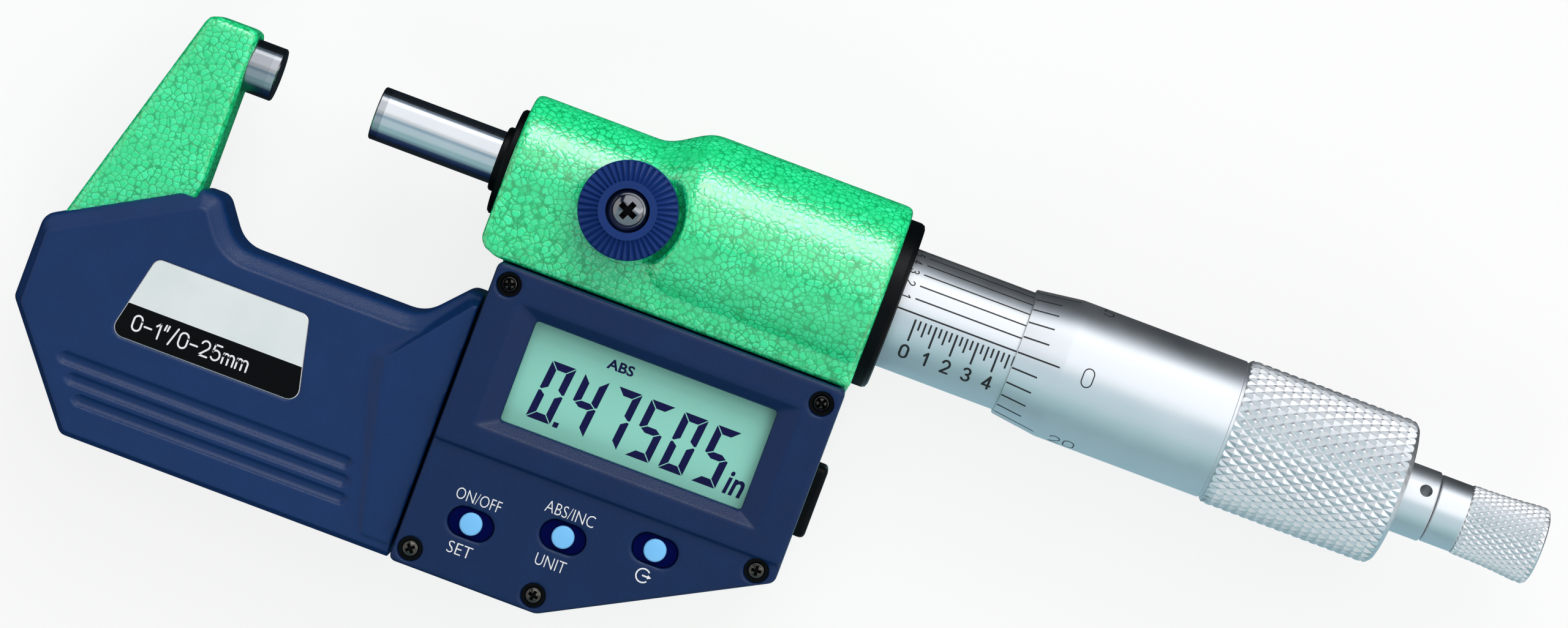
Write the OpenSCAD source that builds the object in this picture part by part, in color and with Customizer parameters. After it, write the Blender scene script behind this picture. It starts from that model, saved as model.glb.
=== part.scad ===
// Digital outside micrometer, 0 to 25.4 mm, lying on its back with the display up.
// X runs along the spindle from the anvil to the ratchet, Y points away from the grip,
// Z points out of the display. The origin is the middle of the anvil's measuring face.

/* [Measuring jaws] */
// gap between the measuring faces as stored
opening = 12.065; // [0:0.005:25.4]
// whole travel of the spindle
travel = 25.4; // [20:0.1:30]
// diameter of the anvil and the spindle
spindle_d = 6.35; // [5:0.05:7.5]
// length of each carbide tip
tip_length = 1; // [0.6:0.1:1.8]
// how far the anvil stands out of the arm
anvil_out = 3.4; // [2.5:0.1:5]
// depth of the anvil in the arm
anvil_seat = 5.4; // [4:0.1:6]

/* [Frame casting] */
// distance between the arm and the spindle housing
throat_width = 32.2; // [30:0.1:40]
// spindle axis down to the floor of the throat
throat_depth = 19.9; // [16:0.1:24]
// spindle axis down to the lower edge of the frame
frame_depth = 47.4; // [44:0.1:54]
// thickness of the arm
arm_t = 8.4; // [7:0.1:10]
// height of the arm above the spindle axis
arm_top = 4.05; // [3.9:0.05:6]
// width of the arm at the anvil
arm_width = 7.3; // [6.6:0.1:9]
// thickness of the web inside the grip
web_t = 6.4; // [4:0.1:7]
// length of the spindle housing
housing_length = 45.4; // [43:0.1:50]
// radius of the thin end of the housing
nose_r = 8.6; // [8.45:0.05:9.2]
// radius of the thick end of the housing
barrel_r = 11.4; // [10.8:0.05:12.5]
// thickness of the flat part of the housing
flat_t = 16.6; // [15.6:0.1:16.8]
// wall of the casting behind the display
bay_wall = 2.2; // [1.8:0.1:2.8]

/* [Grip covers] */
// thickness over both grip covers
grip_t = 12.8; // [12:0.1:15]
// distance of the grip's left edge from the anvil face
grip_reach = 19.4; // [18.5:0.1:24]
// width of the bevel around each cover
grip_bevel = 2.1; // [0.8:0.1:2.3]
// height of the raised shoulder beside the display
shoulder_rise = 1.5; // [0.8:0.1:1.8]
// radius of the three finger grooves
groove_r = 0.85; // [0.5:0.05:1]
// thickness of the range plate
plate_t = 0.3; // [0.2:0.05:0.6]

/* [Display unit] */
// height of the display face above the spindle axis
display_z = 9.8; // [9.4:0.1:11.5]
// how much lower the key panel lies
panel_drop = 0.6; // [0.2:0.1:1]
// wall of the display cover
cover_wall = 1.6; // [1.4:0.1:2]
// width of the seen part of the display
glass_w = 29.4; // [26:0.1:32]
// height of the seen part of the display
glass_h = 12.1; // [10:0.1:13.5]
// length of a key slot
slot_w = 5.45; // [4.8:0.05:6.5]
// height of a key slot
slot_h = 3.5; // [3.2:0.05:4]
// diameter of a key
key_d = 2.65; // [2.2:0.05:2.9]
// travel of a key
key_travel = 0.5; // [0.3:0.05:0.8]
// diameter of the cover screws' heads
screw_head_d = 2.7; // [2.2:0.05:2.9]
// diameter of the coin cell
cell_d = 11.6; // [9.5:0.1:12.5]
// thickness of the coin cell
cell_t = 5.4; // [3:0.1:5.6]

/* [Sleeve and thimble] */
// diameter of the graduated sleeve
sleeve_d = 14.4; // [13.8:0.1:15]
// wall of the graduated sleeve
sleeve_wall = 0.95; // [0.7:0.05:1.1]
// diameter of the black ring behind the housing
ring_d = 20.2; // [19.6:0.1:21.5]
// width of the black ring
ring_w = 1.9; // [1.4:0.1:3]
// black ring to the zero line of the sleeve
zero_gap = 2.5; // [1.5:0.1:5]
// diameter of the plain thimble
thimble_d = 16.7; // [16.4:0.1:18]
// diameter of the knurled grip
knurl_d = 17.5; // [16.9:0.1:19]
// length of the plain thimble with its cone
plain_length = 25.7; // [22:0.1:30]
// length of the knurled grip
knurl_length = 21.5; // [18:0.1:24]
// diameter of the measuring screw
screw_d = 7; // [6.6:0.05:7.6]

/* [Ratchet] */
// diameter of the ratchet's fixed ring
stop_d = 8.45; // [8:0.05:8.8]
// length of the fixed ring outside the thimble
stop_length = 4.1; // [3:0.1:5]
// diameter of the knob's plain neck
neck_d = 8.1; // [7.8:0.05:8.4]
// length of the knob's plain neck
neck_length = 3.75; // [3.2:0.05:5]
// diameter of the knob at its free end
knob_d = 9.24; // [8.8:0.05:10]
// length of the knurled knob
knob_length = 9.5; // [9:0.1:12]
// number of clutch teeth
clutch_teeth = 12; // [8:1:18]

/* [Spindle lock] */
// distance of the lock from the housing's left face
lock_at = 14.75; // [13:0.05:18]
// diameter of the lock knob
lock_d = 11.5; // [10:0.1:12]
// thickness of the lock knob
lock_t = 3.6; // [3:0.1:4.5]
// number of ribs on the lock knob
lock_ribs = 44; // [30:1:60]
// diameter of the lock's threaded stem
lock_stem_d = 4.1; // [3.4:0.1:4.4]

/* [Fits] */
// radial running clearance
running = 0.04; // [0.02:0.01:0.08]
// radial clearance of pieces fixed in a bore
seat = 0.02; // [0.01:0.01:0.05]
// gap between pieces that stand side by side
seam = 0.15; // [0.05:0.05:0.3]

/* [Hidden] */
$fn = 72;

spindle_r = spindle_d / 2;
arm_x = -anvil_out;
housing_x = throat_width - anvil_out;
housing_end = housing_x + housing_length;
flat_z = flat_t / 2;
grip_z = grip_t / 2;
grip_x = -grip_reach;
grip_y = -frame_depth;
floor_y = -throat_depth;
bevel_points = 4;

unit_left = housing_x + 2.9;
unit_right = housing_end - 0.15;
unit_top = -10.6;
unit_bottom = -frame_depth + 0.3;
unit_w = unit_right - unit_left;
unit_h = unit_top - unit_bottom;
panel_z = display_z - panel_drop;
ceiling_z = panel_z - 1.8;
bay_z = 2;
gasket_t = 0.4;
rim_z = bay_z + gasket_t;
board_t = 1;
board_z = bay_z - 0.1;
step_y = unit_top - 0.588 * unit_h;
slant_x = unit_left + 0.4254 * unit_w;
slant_y = unit_top - 0.645 * unit_h;
glass_x = unit_left + 0.4983 * unit_w;
glass_y = unit_top - 0.3027 * unit_h;
key_at = [for (i = [0 : 2]) [unit_left + unit_w * (0.1771 + 0.245 * i), unit_top - unit_h * (0.806 - 0.063 * i)]];
screw_at = [[unit_left + 2.05, unit_top - 2.15], [unit_right - 2.2, unit_top - 2.4],
  [unit_right - 2.45, slant_y + 0.6], [unit_left + 1.95, unit_bottom + 2], [slant_x - 1, unit_bottom + 1.9]];
screw_seat_z = panel_z - 1.3;
screw_r = 0.8;
cell_at = [unit_left + 0.373 * unit_w, unit_top - 0.42 * unit_h];
cell_r = cell_d / 2;
well_r = cell_r + 0.2;
cap_r = well_r + 1.1;
cap_t = 1.25;
port_y = unit_top - 0.386 * unit_h;
port_x = housing_end - 0.2;
port_z = -3.2;
port_h = 7;
port_d = 4.2;

seal_r = 5.9;
seal_depth = 2.4;
bush_r = 5.2;
cavity_r = 0.838 * barrel_r;
cavity_x = housing_x + 0.621 * housing_length;
key_x = cavity_x + 0.055 * housing_length;
disc_x = cavity_x + 0.088 * housing_length;
stator_x = disc_x + 0.042 * housing_length;
flange_x = stator_x + 0.035 * housing_length;
flange_t = 0.077 * housing_length;
ring_x = housing_end;
zero_x = ring_x + ring_w + zero_gap;
sleeve_r = sleeve_d / 2;
core_r = sleeve_r - sleeve_wall - running;
sleeve_end = zero_x + travel + 1.5;
nut_end = sleeve_end + 4;
screw_r_big = screw_d / 2;
nut_x = nut_end - 17.5;
thimble_in = sleeve_r + 0.08;
cone_length = 5.6;
hollow_end = nut_end + 2.5;
thimble_end = zero_x + plain_length + knurl_length;
stop_x = thimble_end - 6.7;
neck_x = thimble_end + stop_length + 0.12;
grasp_x = neck_x + neck_length;
knob_end = grasp_x + knob_length;
post_r = 1.6;
post_end = knob_end - 2.7;
clutch_x = neck_x;
tooth_h = 0.5;

lock_x = housing_x + lock_at;
lock_z = 9;
lock_face_z = lock_z + lock_t;
lock_seat_z = 8.4;
stem_r = lock_stem_d / 2;

function unit(v) = v / norm(v);
function corner_arc(a, b, c, r) =
  let (u = unit(a - b), w = unit(c - b), half = acos(u * w) / 2)
  let (mid = b + unit(u + w) * r / sin(half), first = b + u * r / tan(half) - mid)
  let (last = b + w * r / tan(half) - mid, from = atan2(first.y, first.x))
  let (sweep = (atan2(last.y, last.x) - from + 540) % 360 - 180)
  r < 0.01 ? [b] : [for (i = [0 : 5]) mid + r * [cos(from + sweep * i / 5), sin(from + sweep * i / 5)]];
function rounded(list) =
  let (n = len(list), p = [for (k = list) [k[0], k[1]]])
  [for (i = [0 : n - 1]) each corner_arc(p[(i + n - 1) % n], p[i], p[(i + 1) % n], list[i][2])];
function inward(a, b) = unit([a.y - b.y, b.x - a.x]);
function inset(p, d) =
  let (n = len(p))
  [for (i = [0 : n - 1])
    let (m = inward(p[(i + n - 1) % n], p[i]) + inward(p[i], p[(i + 1) % n])) p[i] + 2 * d * m / (m * m)];
function inset_each(p, d) =
  let (n = len(p))
  [for (i = [0 : n - 1])
    let (j = (i + n - 1) % n, a = inward(p[j], p[i]), b = inward(p[i], p[(i + 1) % n]))
    p[i] + [d[j] * b.y - d[i] * a.y, d[i] * a.x - d[j] * b.x] / (a.x * b.y - a.y * b.x)];
function edge_up(z, r, drop) =
  [for (i = [0 : bevel_points]) [r * (1 - cos(90 * i / bevel_points)), z - drop * (1 - sin(90 * i / bevel_points))]];
function edge_down(z, r, drop) =
  [for (i = [bevel_points : -1 : 0]) [r * (1 - cos(90 * i / bevel_points)), z + drop * (1 - sin(90 * i / bevel_points))]];
function stadium(w, h) =
  [for (a = [-90 : 10 : 90]) [(w - h) / 2 + h / 2 * cos(a), h / 2 * sin(a)],
   for (a = [90 : 10 : 270]) [(h - w) / 2 + h / 2 * cos(a), h / 2 * sin(a)]];

function nearest_hub(line, i, hubs) =
  let (x = (line[i].x + line[(i + 1) % len(line)].x) / 2, far = [for (q = hubs) abs(q.x - x)])
  search(min(far), far)[0];

module stack(lines, heights, hubs = []) {
  n = len(lines[0]);
  m = len(lines);
  low = m * n;
  high = low + len(hubs);
  ends = len(hubs) == 0
    ? [[for (i = [0 : n - 1]) i], [for (i = [n - 1 : -1 : 0]) (m - 1) * n + i]]
    : [for (i = [0 : n - 1])
        let (j = (i + 1) % n, top = (m - 1) * n)
        let (a = nearest_hub(lines[0], i, hubs), b = nearest_hub(lines[0], j, hubs))
        let (c = nearest_hub(lines[m - 1], i, hubs), d = nearest_hub(lines[m - 1], j, hubs))
        each concat(
          [[i, j, low + a], [top + j, top + i, high + c]],
          a == b ? [] : [[low + a, j, low + b]],
          c == d ? [] : [[high + d, top + j, high + c]])];
  polyhedron(
    points = [for (k = [0 : m - 1]) each [for (q = lines[k]) [q.x, q.y, heights[k]]],
      for (q = hubs) [q.x, q.y, heights[0]],
      for (q = hubs) [q.x, q.y, heights[m - 1]]],
    faces = concat(ends, [for (k = [0 : m - 2]) for (i = [0 : n - 1])
      [k * n + i, (k + 1) * n + i, (k + 1) * n + (i + 1) % n, k * n + (i + 1) % n]]));
}

module loft(p, levels) {
  stack([for (k = levels) inset(p, k[0])], [for (k = levels) k[1]]);
}

module spun(profile) {
  rotate([0, 90, 0])
    rotate_extrude()
      polygon([for (p = profile) [p[1], p[0]]]);
}

module bar(x0, x1, r) {
  translate([x0, 0, 0])
    rotate([0, 90, 0])
      cylinder(h = x1 - x0, r = r);
}

module post(at, z0, z1, r) {
  translate([at.x, at.y, z0])
    cylinder(h = z1 - z0, r = r);
}

module block(low, high) {
  translate(low)
    cube(high - low);
}

module slab(p, z0, z1) {
  translate([0, 0, z0])
    linear_extrude(z1 - z0)
      polygon(p);
}

// The arm leans outward as it goes down into the grip.
arm_lean = 0.289;
arm_foot = floor_y - 5;
arm_edge = 0.9;
arm_line = rounded([
  [arm_x - arm_width + arm_lean * arm_top, arm_top, 1.3],
  [arm_x - arm_width + arm_lean * arm_foot, arm_foot, 0],
  [arm_x, arm_foot, 0],
  [arm_x, arm_top, arm_edge + 0.1]]);
web_line = [
  [grip_x + 2.5, floor_y - 5],
  [grip_x + 2.5, floor_y - 14],
  [grip_x + 11.6, grip_y + 2.4],
  [unit_left + 1.2, grip_y + 2.4],
  [unit_left + 1.2, floor_y - 2.6],
  [arm_x + 6, floor_y - 2.6],
  [arm_x, floor_y + 0.9],
  [arm_x - 6, floor_y + 0.9]];
bay_line = rounded([
  [unit_left + 0.2, -8, 0],
  [unit_left + 0.2, unit_bottom + 0.2, 1.1],
  [slant_x - 0.1, unit_bottom + 0.2, 1.8],
  [unit_right - 0.2, slant_y - 0.05, 1.4],
  [unit_right - 0.2, -8, 0]]);
cover_corners = [
  [unit_left, unit_top, 0.7],
  [unit_left, unit_bottom, 0.7],
  [slant_x, unit_bottom, 1.6],
  [unit_right, slant_y, 1.1],
  [unit_right, unit_top, 0.7]];
cover_line = rounded(cover_corners);
cover_sharp = [for (c = cover_corners) [c[0], c[1]]];
display_line = rounded([
  [unit_left + 0.05, unit_top - 0.05, 0.7],
  [unit_left + 0.05, step_y, 0.5],
  [unit_right - 0.05, step_y, 0.5],
  [unit_right - 0.05, unit_top - 0.05, 0.7]]);
pocket_line = [
  [unit_left + 0.2 + bay_wall, unit_top - 2.3],
  [unit_left + 0.2 + bay_wall, unit_bottom + 0.2 + bay_wall],
  [slant_x - 0.5, unit_bottom + 0.2 + bay_wall],
  [unit_right - 0.2 - bay_wall, slant_y + bay_wall - 0.9],
  [unit_right - 0.2 - bay_wall, unit_top - 2.3]];
grip_end = unit_left - 0.4;
// The corners of the grip: place, radius and the share of the bevel on the edge that follows.
// The two large ones are hollow, and the bevel is narrow on the left and at the bottom.
grip_corners = [
  [grip_x, floor_y - 4.3, 1.9, 0.6],
  [grip_x, floor_y - 14.4, 1, 0.4],
  [grip_x + 10.4, grip_y, 1.2, 0.35],
  [grip_end + 4, grip_y, 0, 1],
  [grip_end + 4, floor_y + 4.8, 0, 1],
  [housing_x + 0.8, floor_y + 4.8, 1.5, 1],
  [housing_x - 3.6, floor_y, 4, 1],
  [arm_x + 6, floor_y, 4, 1],
  [arm_x + 2.55, floor_y + 4.8, 1.7, 1],
  [arm_x + 0.15, floor_y + 4.8, 1.3, 1]];
function grip_radius(c, d) = c[2] == 0 ? 0 : c[2] > 3 ? c[2] + d : max(c[2] - c[3] * d, 0.4);
function grip_line(d) =
  let (p = inset_each([for (c = grip_corners) [c[0], c[1]]], [for (c = grip_corners) c[3] * d]))
  rounded([for (i = [0 : len(p) - 1]) [p[i].x, p[i].y, grip_radius(grip_corners[i], d)]]);

module frame() {
  blend_x = lock_x + 0.25;
  blend_w = 6.7;
  profile = concat(
    [[housing_x, 0]],
    [for (i = [0 : 3]) [housing_x + 0.6 * (1 - cos(30 * i)), nose_r - 0.6 * (1 - sin(30 * i))]],
    [for (i = [0 : 10]) [blend_x + blend_w * i / 10, nose_r + (barrel_r - nose_r) * (1 - cos(18 * i)) / 2]],
    [for (i = [0 : 3]) [housing_end - 0.6 * (1 - sin(30 * i)), barrel_r - 0.6 * (1 - cos(30 * i))]],
    [[housing_end, 0]]);
  color("mediumseagreen")
    difference() {
      union() {
        spun(profile);
        slab([[housing_x, 1], [housing_x, -8.9], [housing_x + 0.7, -9.8], [housing_x + 2.4, unit_top + seam],
          [housing_end, unit_top + seam], [housing_end, 1]], -flat_z, flat_z);
        loft(bay_line, concat(edge_down(-flat_z, 1, 1), [[0, bay_z]]));
        block([unit_right - 3, port_y - 4.6, 1 - flat_z], [port_x, unit_top + 1, bay_z]);
        loft(arm_line, concat(edge_down(-arm_t / 2, arm_edge, arm_edge), edge_up(arm_t / 2, arm_edge, arm_edge)));
        slab(web_line, -web_t / 2, web_t / 2);
      }
      block([unit_left - seam, unit_bottom - 1, bay_z], [housing_end + 1, unit_top + seam, barrel_r + 1]);
      bar(arm_x - anvil_seat, arm_x + 1, spindle_r + seat);
      bar(housing_x - 1, housing_x + seal_depth, seal_r + seat);
      bar(housing_x, cavity_x + 1, bush_r + seat);
      bar(cavity_x, housing_end + 1, cavity_r);
      post([lock_x, 0], 0, lock_z + 5, stem_r + 0.05);
      post([lock_x, 0], lock_seat_z, lock_z + 9, lock_d / 2 + 0.7);
      difference() {
        union() {
          slab(pocket_line, 2 - flat_z, bay_z + 1);
          slab(inset(pocket_line, -0.6), board_z, bay_z + 1);
        }
        for (p = screw_at)
          post(p, -flat_z, bay_z, 2);
        post(cell_at, -flat_z, board_z - 2.1, well_r + 1.5);
      }
      for (p = screw_at)
        post(p, -3, bay_z + 1, screw_r + seat);
      post(cell_at, -flat_z + cap_t + 0.05, board_z + 0.1, well_r);
      post(cell_at, -flat_z - 1, -flat_z + cap_t + 0.05, cap_r + 0.1);
      block([unit_right - 4, port_y - port_h / 2, port_z - port_d / 2],
        [housing_end + 1, port_y + port_h / 2, port_z + port_d / 2]);
      block([stator_x - 0.8, unit_top - 3, 0.2], [stator_x + 3.2, 2 - cavity_r, 1.7]);
    }
}

module anvil() {
  color("silver")
    bar(arm_x - anvil_seat, -tip_length, spindle_r);
}

module anvil_tip() {
  color("dimgray")
    spun([[-tip_length, 0], [-tip_length, spindle_r], [-0.15, spindle_r], [0, spindle_r - 0.15], [0, 0]]);
}

// One half of the grip: a shell with a soft wide bevel, a sloping shoulder and three grooves.
module grip_half() {
  rim = [[0, 1], [0.09, 0.78], [0.26, 0.6], [0.8, 0.17], [0.91, 0.05], [1, 0]];
  shoulder_low = grip_z - 1.6;
  shoulder_end = grip_y + 1.7;
  shoulder_foot = [[unit_left + 0.5, floor_y + 3.9], [housing_x + 0.9, floor_y + 3.9],
    [unit_left - 13, floor_y - 5.8], [unit_left - 4.8, shoulder_end - 0.5], [unit_left + 0.5, shoulder_end - 0.5]];
  shoulder_top = [[unit_left + 0.5, floor_y + 3.4], [unit_left - 0.9, floor_y + 3.4],
    [unit_left - 8.4, floor_y - 5.9], [unit_left - 4, shoulder_end], [unit_left + 0.5, shoulder_end]];
  slope = (shoulder_rise - 0.35) / (floor_y + 3.4 - shoulder_end);
  difference() {
    union() {
      stack(concat([grip_line(0)], [for (k = rim) grip_line(grip_bevel * k[0])]),
        concat([0], [for (k = rim) grip_z - grip_bevel * k[1]]),
        [[arm_x - 4, floor_y - 12], [arm_x + 12, floor_y - 12], [housing_x - 0.8, floor_y - 10]]);
      polyhedron(
        points = [for (q = shoulder_foot) [q.x, q.y, shoulder_low],
          for (q = shoulder_top) [q.x, q.y, grip_z + 0.35 + slope * (q.y - shoulder_end)]],
        faces = [[0, 1, 2, 3, 4], [9, 8, 7, 6, 5], [0, 5, 6, 1], [1, 6, 7, 2], [2, 7, 8, 3], [3, 8, 9, 4], [4, 9, 5, 0]]);
    }
    for (i = [0 : 2]) {
      y = grip_y + 4.6 + 2.05 * i;
      left = grip_x + 10.4 - (y - grip_y) * 0.79 + 4.4;
      right = unit_left - 7.5 - 0.42 * i;
      translate([0, y, grip_z + groove_r * 0.42])
        spun([[left - 1.2, 0], [left - 1.2, groove_r * 0.2], [left, groove_r], [right, groove_r],
          [right + 1.2, groove_r * 0.2], [right + 1.2, 0]]);
    }
    slab(inset(arm_line, -seam / 2), -1, arm_t / 2 + seam / 2);
    slab(inset(web_line, -seam / 2), -1, web_t / 2 + seam / 2);
    block([grip_end, grip_y - 1, -1], [grip_end + 9, floor_y + 9, grip_z + 9]);
    block([grip_x, floor_y + 3.55, -1], [arm_x - 0.1, floor_y + 9, grip_z + 9]);
  }
}

plate_line = rounded([[-5.3, floor_y - 4.4, 1.1], [-7.6, floor_y - 14.4, 1.3], [15.7, floor_y - 14.4, 1.3],
  [13.4, floor_y - 4.4, 1.1]]);
plate_z = grip_z - plate_t - 0.05;

module grip_front() {
  color("midnightblue")
    difference() {
      grip_half();
      slab(inset(plate_line, -0.1), plate_z, grip_z + 1);
    }
}

module grip_back() {
  color("midnightblue")
    mirror([0, 0, 1])
      grip_half();
}

module range_plate() {
  color("gainsboro")
    slab(plate_line, plate_z, plate_z + plate_t);
}

module display_cover() {
  color("navy")
    difference() {
      union() {
        loft(cover_line, concat([[0, rim_z]], edge_up(panel_z, 0.5, 0.5)));
        loft(display_line, concat([[0, rim_z + 0.5]], edge_up(display_z, 0.4, 0.4)));
      }
      difference() {
        slab(inset(cover_sharp, cover_wall), rim_z - 1, ceiling_z);
        for (p = screw_at)
          post(p, rim_z - 1, ceiling_z + 1, 1.9);
      }
      for (p = screw_at) {
        post(p, rim_z - 1, display_z, screw_r + 0.1);
        post(p, screw_seat_z, display_z + 1, screw_head_d / 2 + 0.1);
      }
      block([glass_x - glass_w / 2, glass_y - glass_h / 2, rim_z],
        [glass_x + glass_w / 2, glass_y + glass_h / 2, display_z]);
      hull() {
        block([glass_x - glass_w / 2, glass_y - glass_h / 2, display_z - 1.2],
          [glass_x + glass_w / 2, glass_y + glass_h / 2, display_z - 1.1]);
        block([glass_x - glass_w / 2 - 2.5, glass_y - glass_h / 2 - 1.4, display_z],
          [glass_x + glass_w / 2 + 2.5, glass_y + glass_h / 2 + 1.4, display_z + 0.1]);
      }
      for (k = key_at)
        translate([k.x, k.y, 0])
          slab(stadium(slot_w, slot_h), rim_z, display_z + 1);
    }
}

module display_window() {
  color("whitesmoke", 0.3)
    union() {
      block([glass_x - glass_w / 2 + 0.05, glass_y - glass_h / 2 + 0.05, ceiling_z - 0.4],
        [glass_x + glass_w / 2 - 0.05, glass_y + glass_h / 2 - 0.05, display_z - 1.3]);
      block([glass_x - glass_w / 2 - 1.1, glass_y - glass_h / 2 - 1.1, ceiling_z - 0.8],
        [glass_x + glass_w / 2 + 1.1, glass_y + glass_h / 2 + 1.1, ceiling_z]);
    }
}

lcd_front = ceiling_z - 0.8;
lcd_back = lcd_front - 1.7;

module lcd_panel() {
  color("darkseagreen")
    block([glass_x - glass_w / 2 - 0.9, glass_y - glass_h / 2 - 1, lcd_back],
      [glass_x + glass_w / 2 + 0.9, glass_y + glass_h / 2 + 1, lcd_front]);
}

module lcd_connectors() {
  color("salmon")
    for (s = [-1, 1])
      block([glass_x - glass_w / 2, glass_y + s * glass_h / 2 - 0.7, board_z + board_t],
        [glass_x + glass_w / 2, glass_y + s * glass_h / 2 + 0.7, lcd_back]);
}

module circuit_board() {
  color("darkgreen")
    difference() {
      slab(inset(pocket_line, -0.5), board_z, board_z + board_t);
      for (p = screw_at)
        post(p, board_z - 1, board_z + board_t + 1, 2.15);
    }
}

pad_z = ceiling_z - 1;
key_foot_z = pad_z - 0.85;

module keypad() {
  reach = [slot_w / 2 + 0.8, slot_h / 2 + 0.6];
  cut = slot_h / 3;
  color("mediumblue")
    difference() {
      union() {
        slab([key_at[0] + [-reach.x, reach.y], key_at[0] - reach, key_at[0] + [reach.x, -reach.y],
          key_at[2] + [reach.x - cut, -reach.y], key_at[2] + [reach.x, cut - reach.y], key_at[2] + reach,
          key_at[2] + [-reach.x, reach.y]], pad_z, ceiling_z);
        for (k = key_at)
          translate([k.x, k.y, 0])
            slab(stadium(slot_w - 0.2, slot_h - 0.2), pad_z, panel_z - 0.45);
      }
      for (k = key_at)
        post(k, pad_z - 1, display_z, key_d / 2 + running);
    }
}

module key(i) {
  color("lightskyblue")
    union() {
      post(key_at[i], key_foot_z, panel_z + 0.15, key_d / 2);
      post(key_at[i], key_foot_z, pad_z - 0.1, key_d / 2 + 0.5);
    }
}

module on_off_key() {
  key(0);
}

module abs_key() {
  key(1);
}

module data_key() {
  key(2);
}

module key_switches() {
  color("lightgray")
    for (k = key_at) {
      block([k.x - 1.8, k.y - 1.8, board_z + board_t], [k.x + 1.8, k.y + 1.8, key_foot_z - key_travel - 0.4]);
      post(k, board_z + board_t, key_foot_z - key_travel - 0.1, 0.9);
    }
}

module cover_screws() {
  color("black")
    for (p = screw_at) {
      head_top = screw_seat_z + 0.95;
      difference() {
        union() {
          post(p, screw_seat_z, head_top - 0.3, screw_head_d / 2);
          translate([p.x, p.y, head_top - 0.3])
            cylinder(h = 0.3, r1 = screw_head_d / 2, r2 = screw_head_d / 2 - 0.35);
          post(p, -2, screw_seat_z + 0.1, screw_r);
        }
        for (a = [0, 90])
          translate([p.x, p.y, head_top])
            rotate([0, 0, a])
              cube([1.3, 0.32, 0.9], center = true);
      }
    }
}

module cover_gasket() {
  color("dimgray")
    difference() {
      slab(inset(cover_line, 0.3), bay_z, rim_z);
      slab(inset(cover_sharp, cover_wall - 0.1), bay_z - 1, rim_z + 1);
      for (p = screw_at)
        post(p, bay_z - 1, rim_z + 1, screw_r + 0.2);
    }
}

cell_low = -flat_z + cap_t + 1.15;

module battery() {
  color("silver")
    union() {
      post(cell_at, cell_low, cell_low + cell_t - 0.5, cell_r);
      post(cell_at, cell_low + cell_t - 0.6, cell_low + cell_t, cell_r - 1.3);
    }
}

module battery_contact() {
  cell_top = cell_low + cell_t;
  t = 0.25;
  color("goldenrod")
    translate([cell_at.x, cell_at.y + 1.5, 0])
      rotate([90, 0, 0])
        linear_extrude(3)
          polygon([[-4, board_z], [-4, board_z - t], [-1.5, board_z - t], [2, cell_top], [3.4, cell_top],
            [3.4, cell_top + t], [2.1, cell_top + t], [-1.4, board_z]]);
}

module battery_cap() {
  color("black")
    difference() {
      union() {
        post(cell_at, -flat_z, -flat_z + cap_t, cap_r);
        post(cell_at, -flat_z, cell_low - 0.05, well_r - 0.1);
      }
      translate([cell_at.x, cell_at.y, -flat_z])
        cube([2 * cap_r - 3, 1.6, 1.6], center = true);
      translate([cell_at.x, cell_at.y, -flat_z + cap_t])
        rotate_extrude()
          polygon([[well_r - 1, 0.15], [well_r + 1, 0.15], [well_r + 1, 1], [well_r - 1, 1]]);
    }
}

module cap_seal() {
  color("darkred")
    translate([cell_at.x, cell_at.y, -flat_z + cap_t + 0.575])
      rotate_extrude()
        translate([well_r - 0.48, 0])
          circle(0.42, $fn = 24);
}

module port_socket() {
  color("black")
    difference() {
      block([unit_right - 8.2, port_y - port_h / 2 + 0.2, port_z - port_d / 2 - 0.4],
        [unit_right - 0.2 - bay_wall - 0.1, port_y + port_h / 2 - 0.2, board_z]);
      block([unit_right - 5.2, port_y - port_h / 2 + 1, port_z - port_d / 2 + 0.4],
        [unit_right, port_y + port_h / 2 - 1, port_z + port_d / 2 - 0.4]);
    }
}

module port_plug() {
  face = rounded([[port_y - 4.4, port_z - 3, 0.9], [port_y + 4.4, port_z - 3, 0.9],
    [port_y + 4.4, port_z + 3, 0.9], [port_y - 4.4, port_z + 3, 0.9]]);
  color("black")
    union() {
      translate([port_x, 0, 0])
        rotate([90, 0, 90])
          loft(face, concat([[0, 0]], edge_up(1.5, 0.6, 0.6)));
      block([unit_right - 4.6, port_y - port_h / 2 + 1.2, port_z - port_d / 2 + 0.6],
        [port_x + 0.1, port_y + port_h / 2 - 1.2, port_z + port_d / 2 - 0.6]);
      block([unit_right - 2, port_y - port_h / 2 + 0.1, port_z - port_d / 2 + 0.1],
        [port_x + 0.1, port_y + port_h / 2 - 0.1, port_z + port_d / 2 - 0.1]);
    }
}

lip_x = housing_x + 0.3;
lip_w = 1.3;
lip_r = 4.6;

module seal_cap() {
  bore = spindle_r + 0.08;
  color("black")
    spun([[housing_x - 1.75, bore], [housing_x - 1.75, spindle_r + 0.5], [housing_x - 1.55, spindle_r + 0.7],
      [housing_x - 0.9, spindle_r + 0.75], [housing_x - 0.9, 6.1], [housing_x - 0.65, 6.35],
      [housing_x - 0.15, 6.4], [housing_x, 6.3], [housing_x, seal_r], [housing_x + seal_depth, seal_r],
      [housing_x + seal_depth, bush_r - 1.5], [lip_x + lip_w, bush_r - 1.5], [lip_x + lip_w, lip_r], [lip_x, lip_r],
      [lip_x, bore]]);
}

module wiper_seal() {
  color("firebrick")
    spun([[lip_x + 0.1, spindle_r + 0.6], [lip_x + 0.3, spindle_r + running], [lip_x + 0.7, spindle_r + running],
      [lip_x + 0.9, spindle_r + 0.5], [lip_x + lip_w, spindle_r + 0.5], [lip_x + lip_w, lip_r - seat],
      [lip_x, lip_r - seat], [lip_x, spindle_r + 0.6]]);
}

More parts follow.
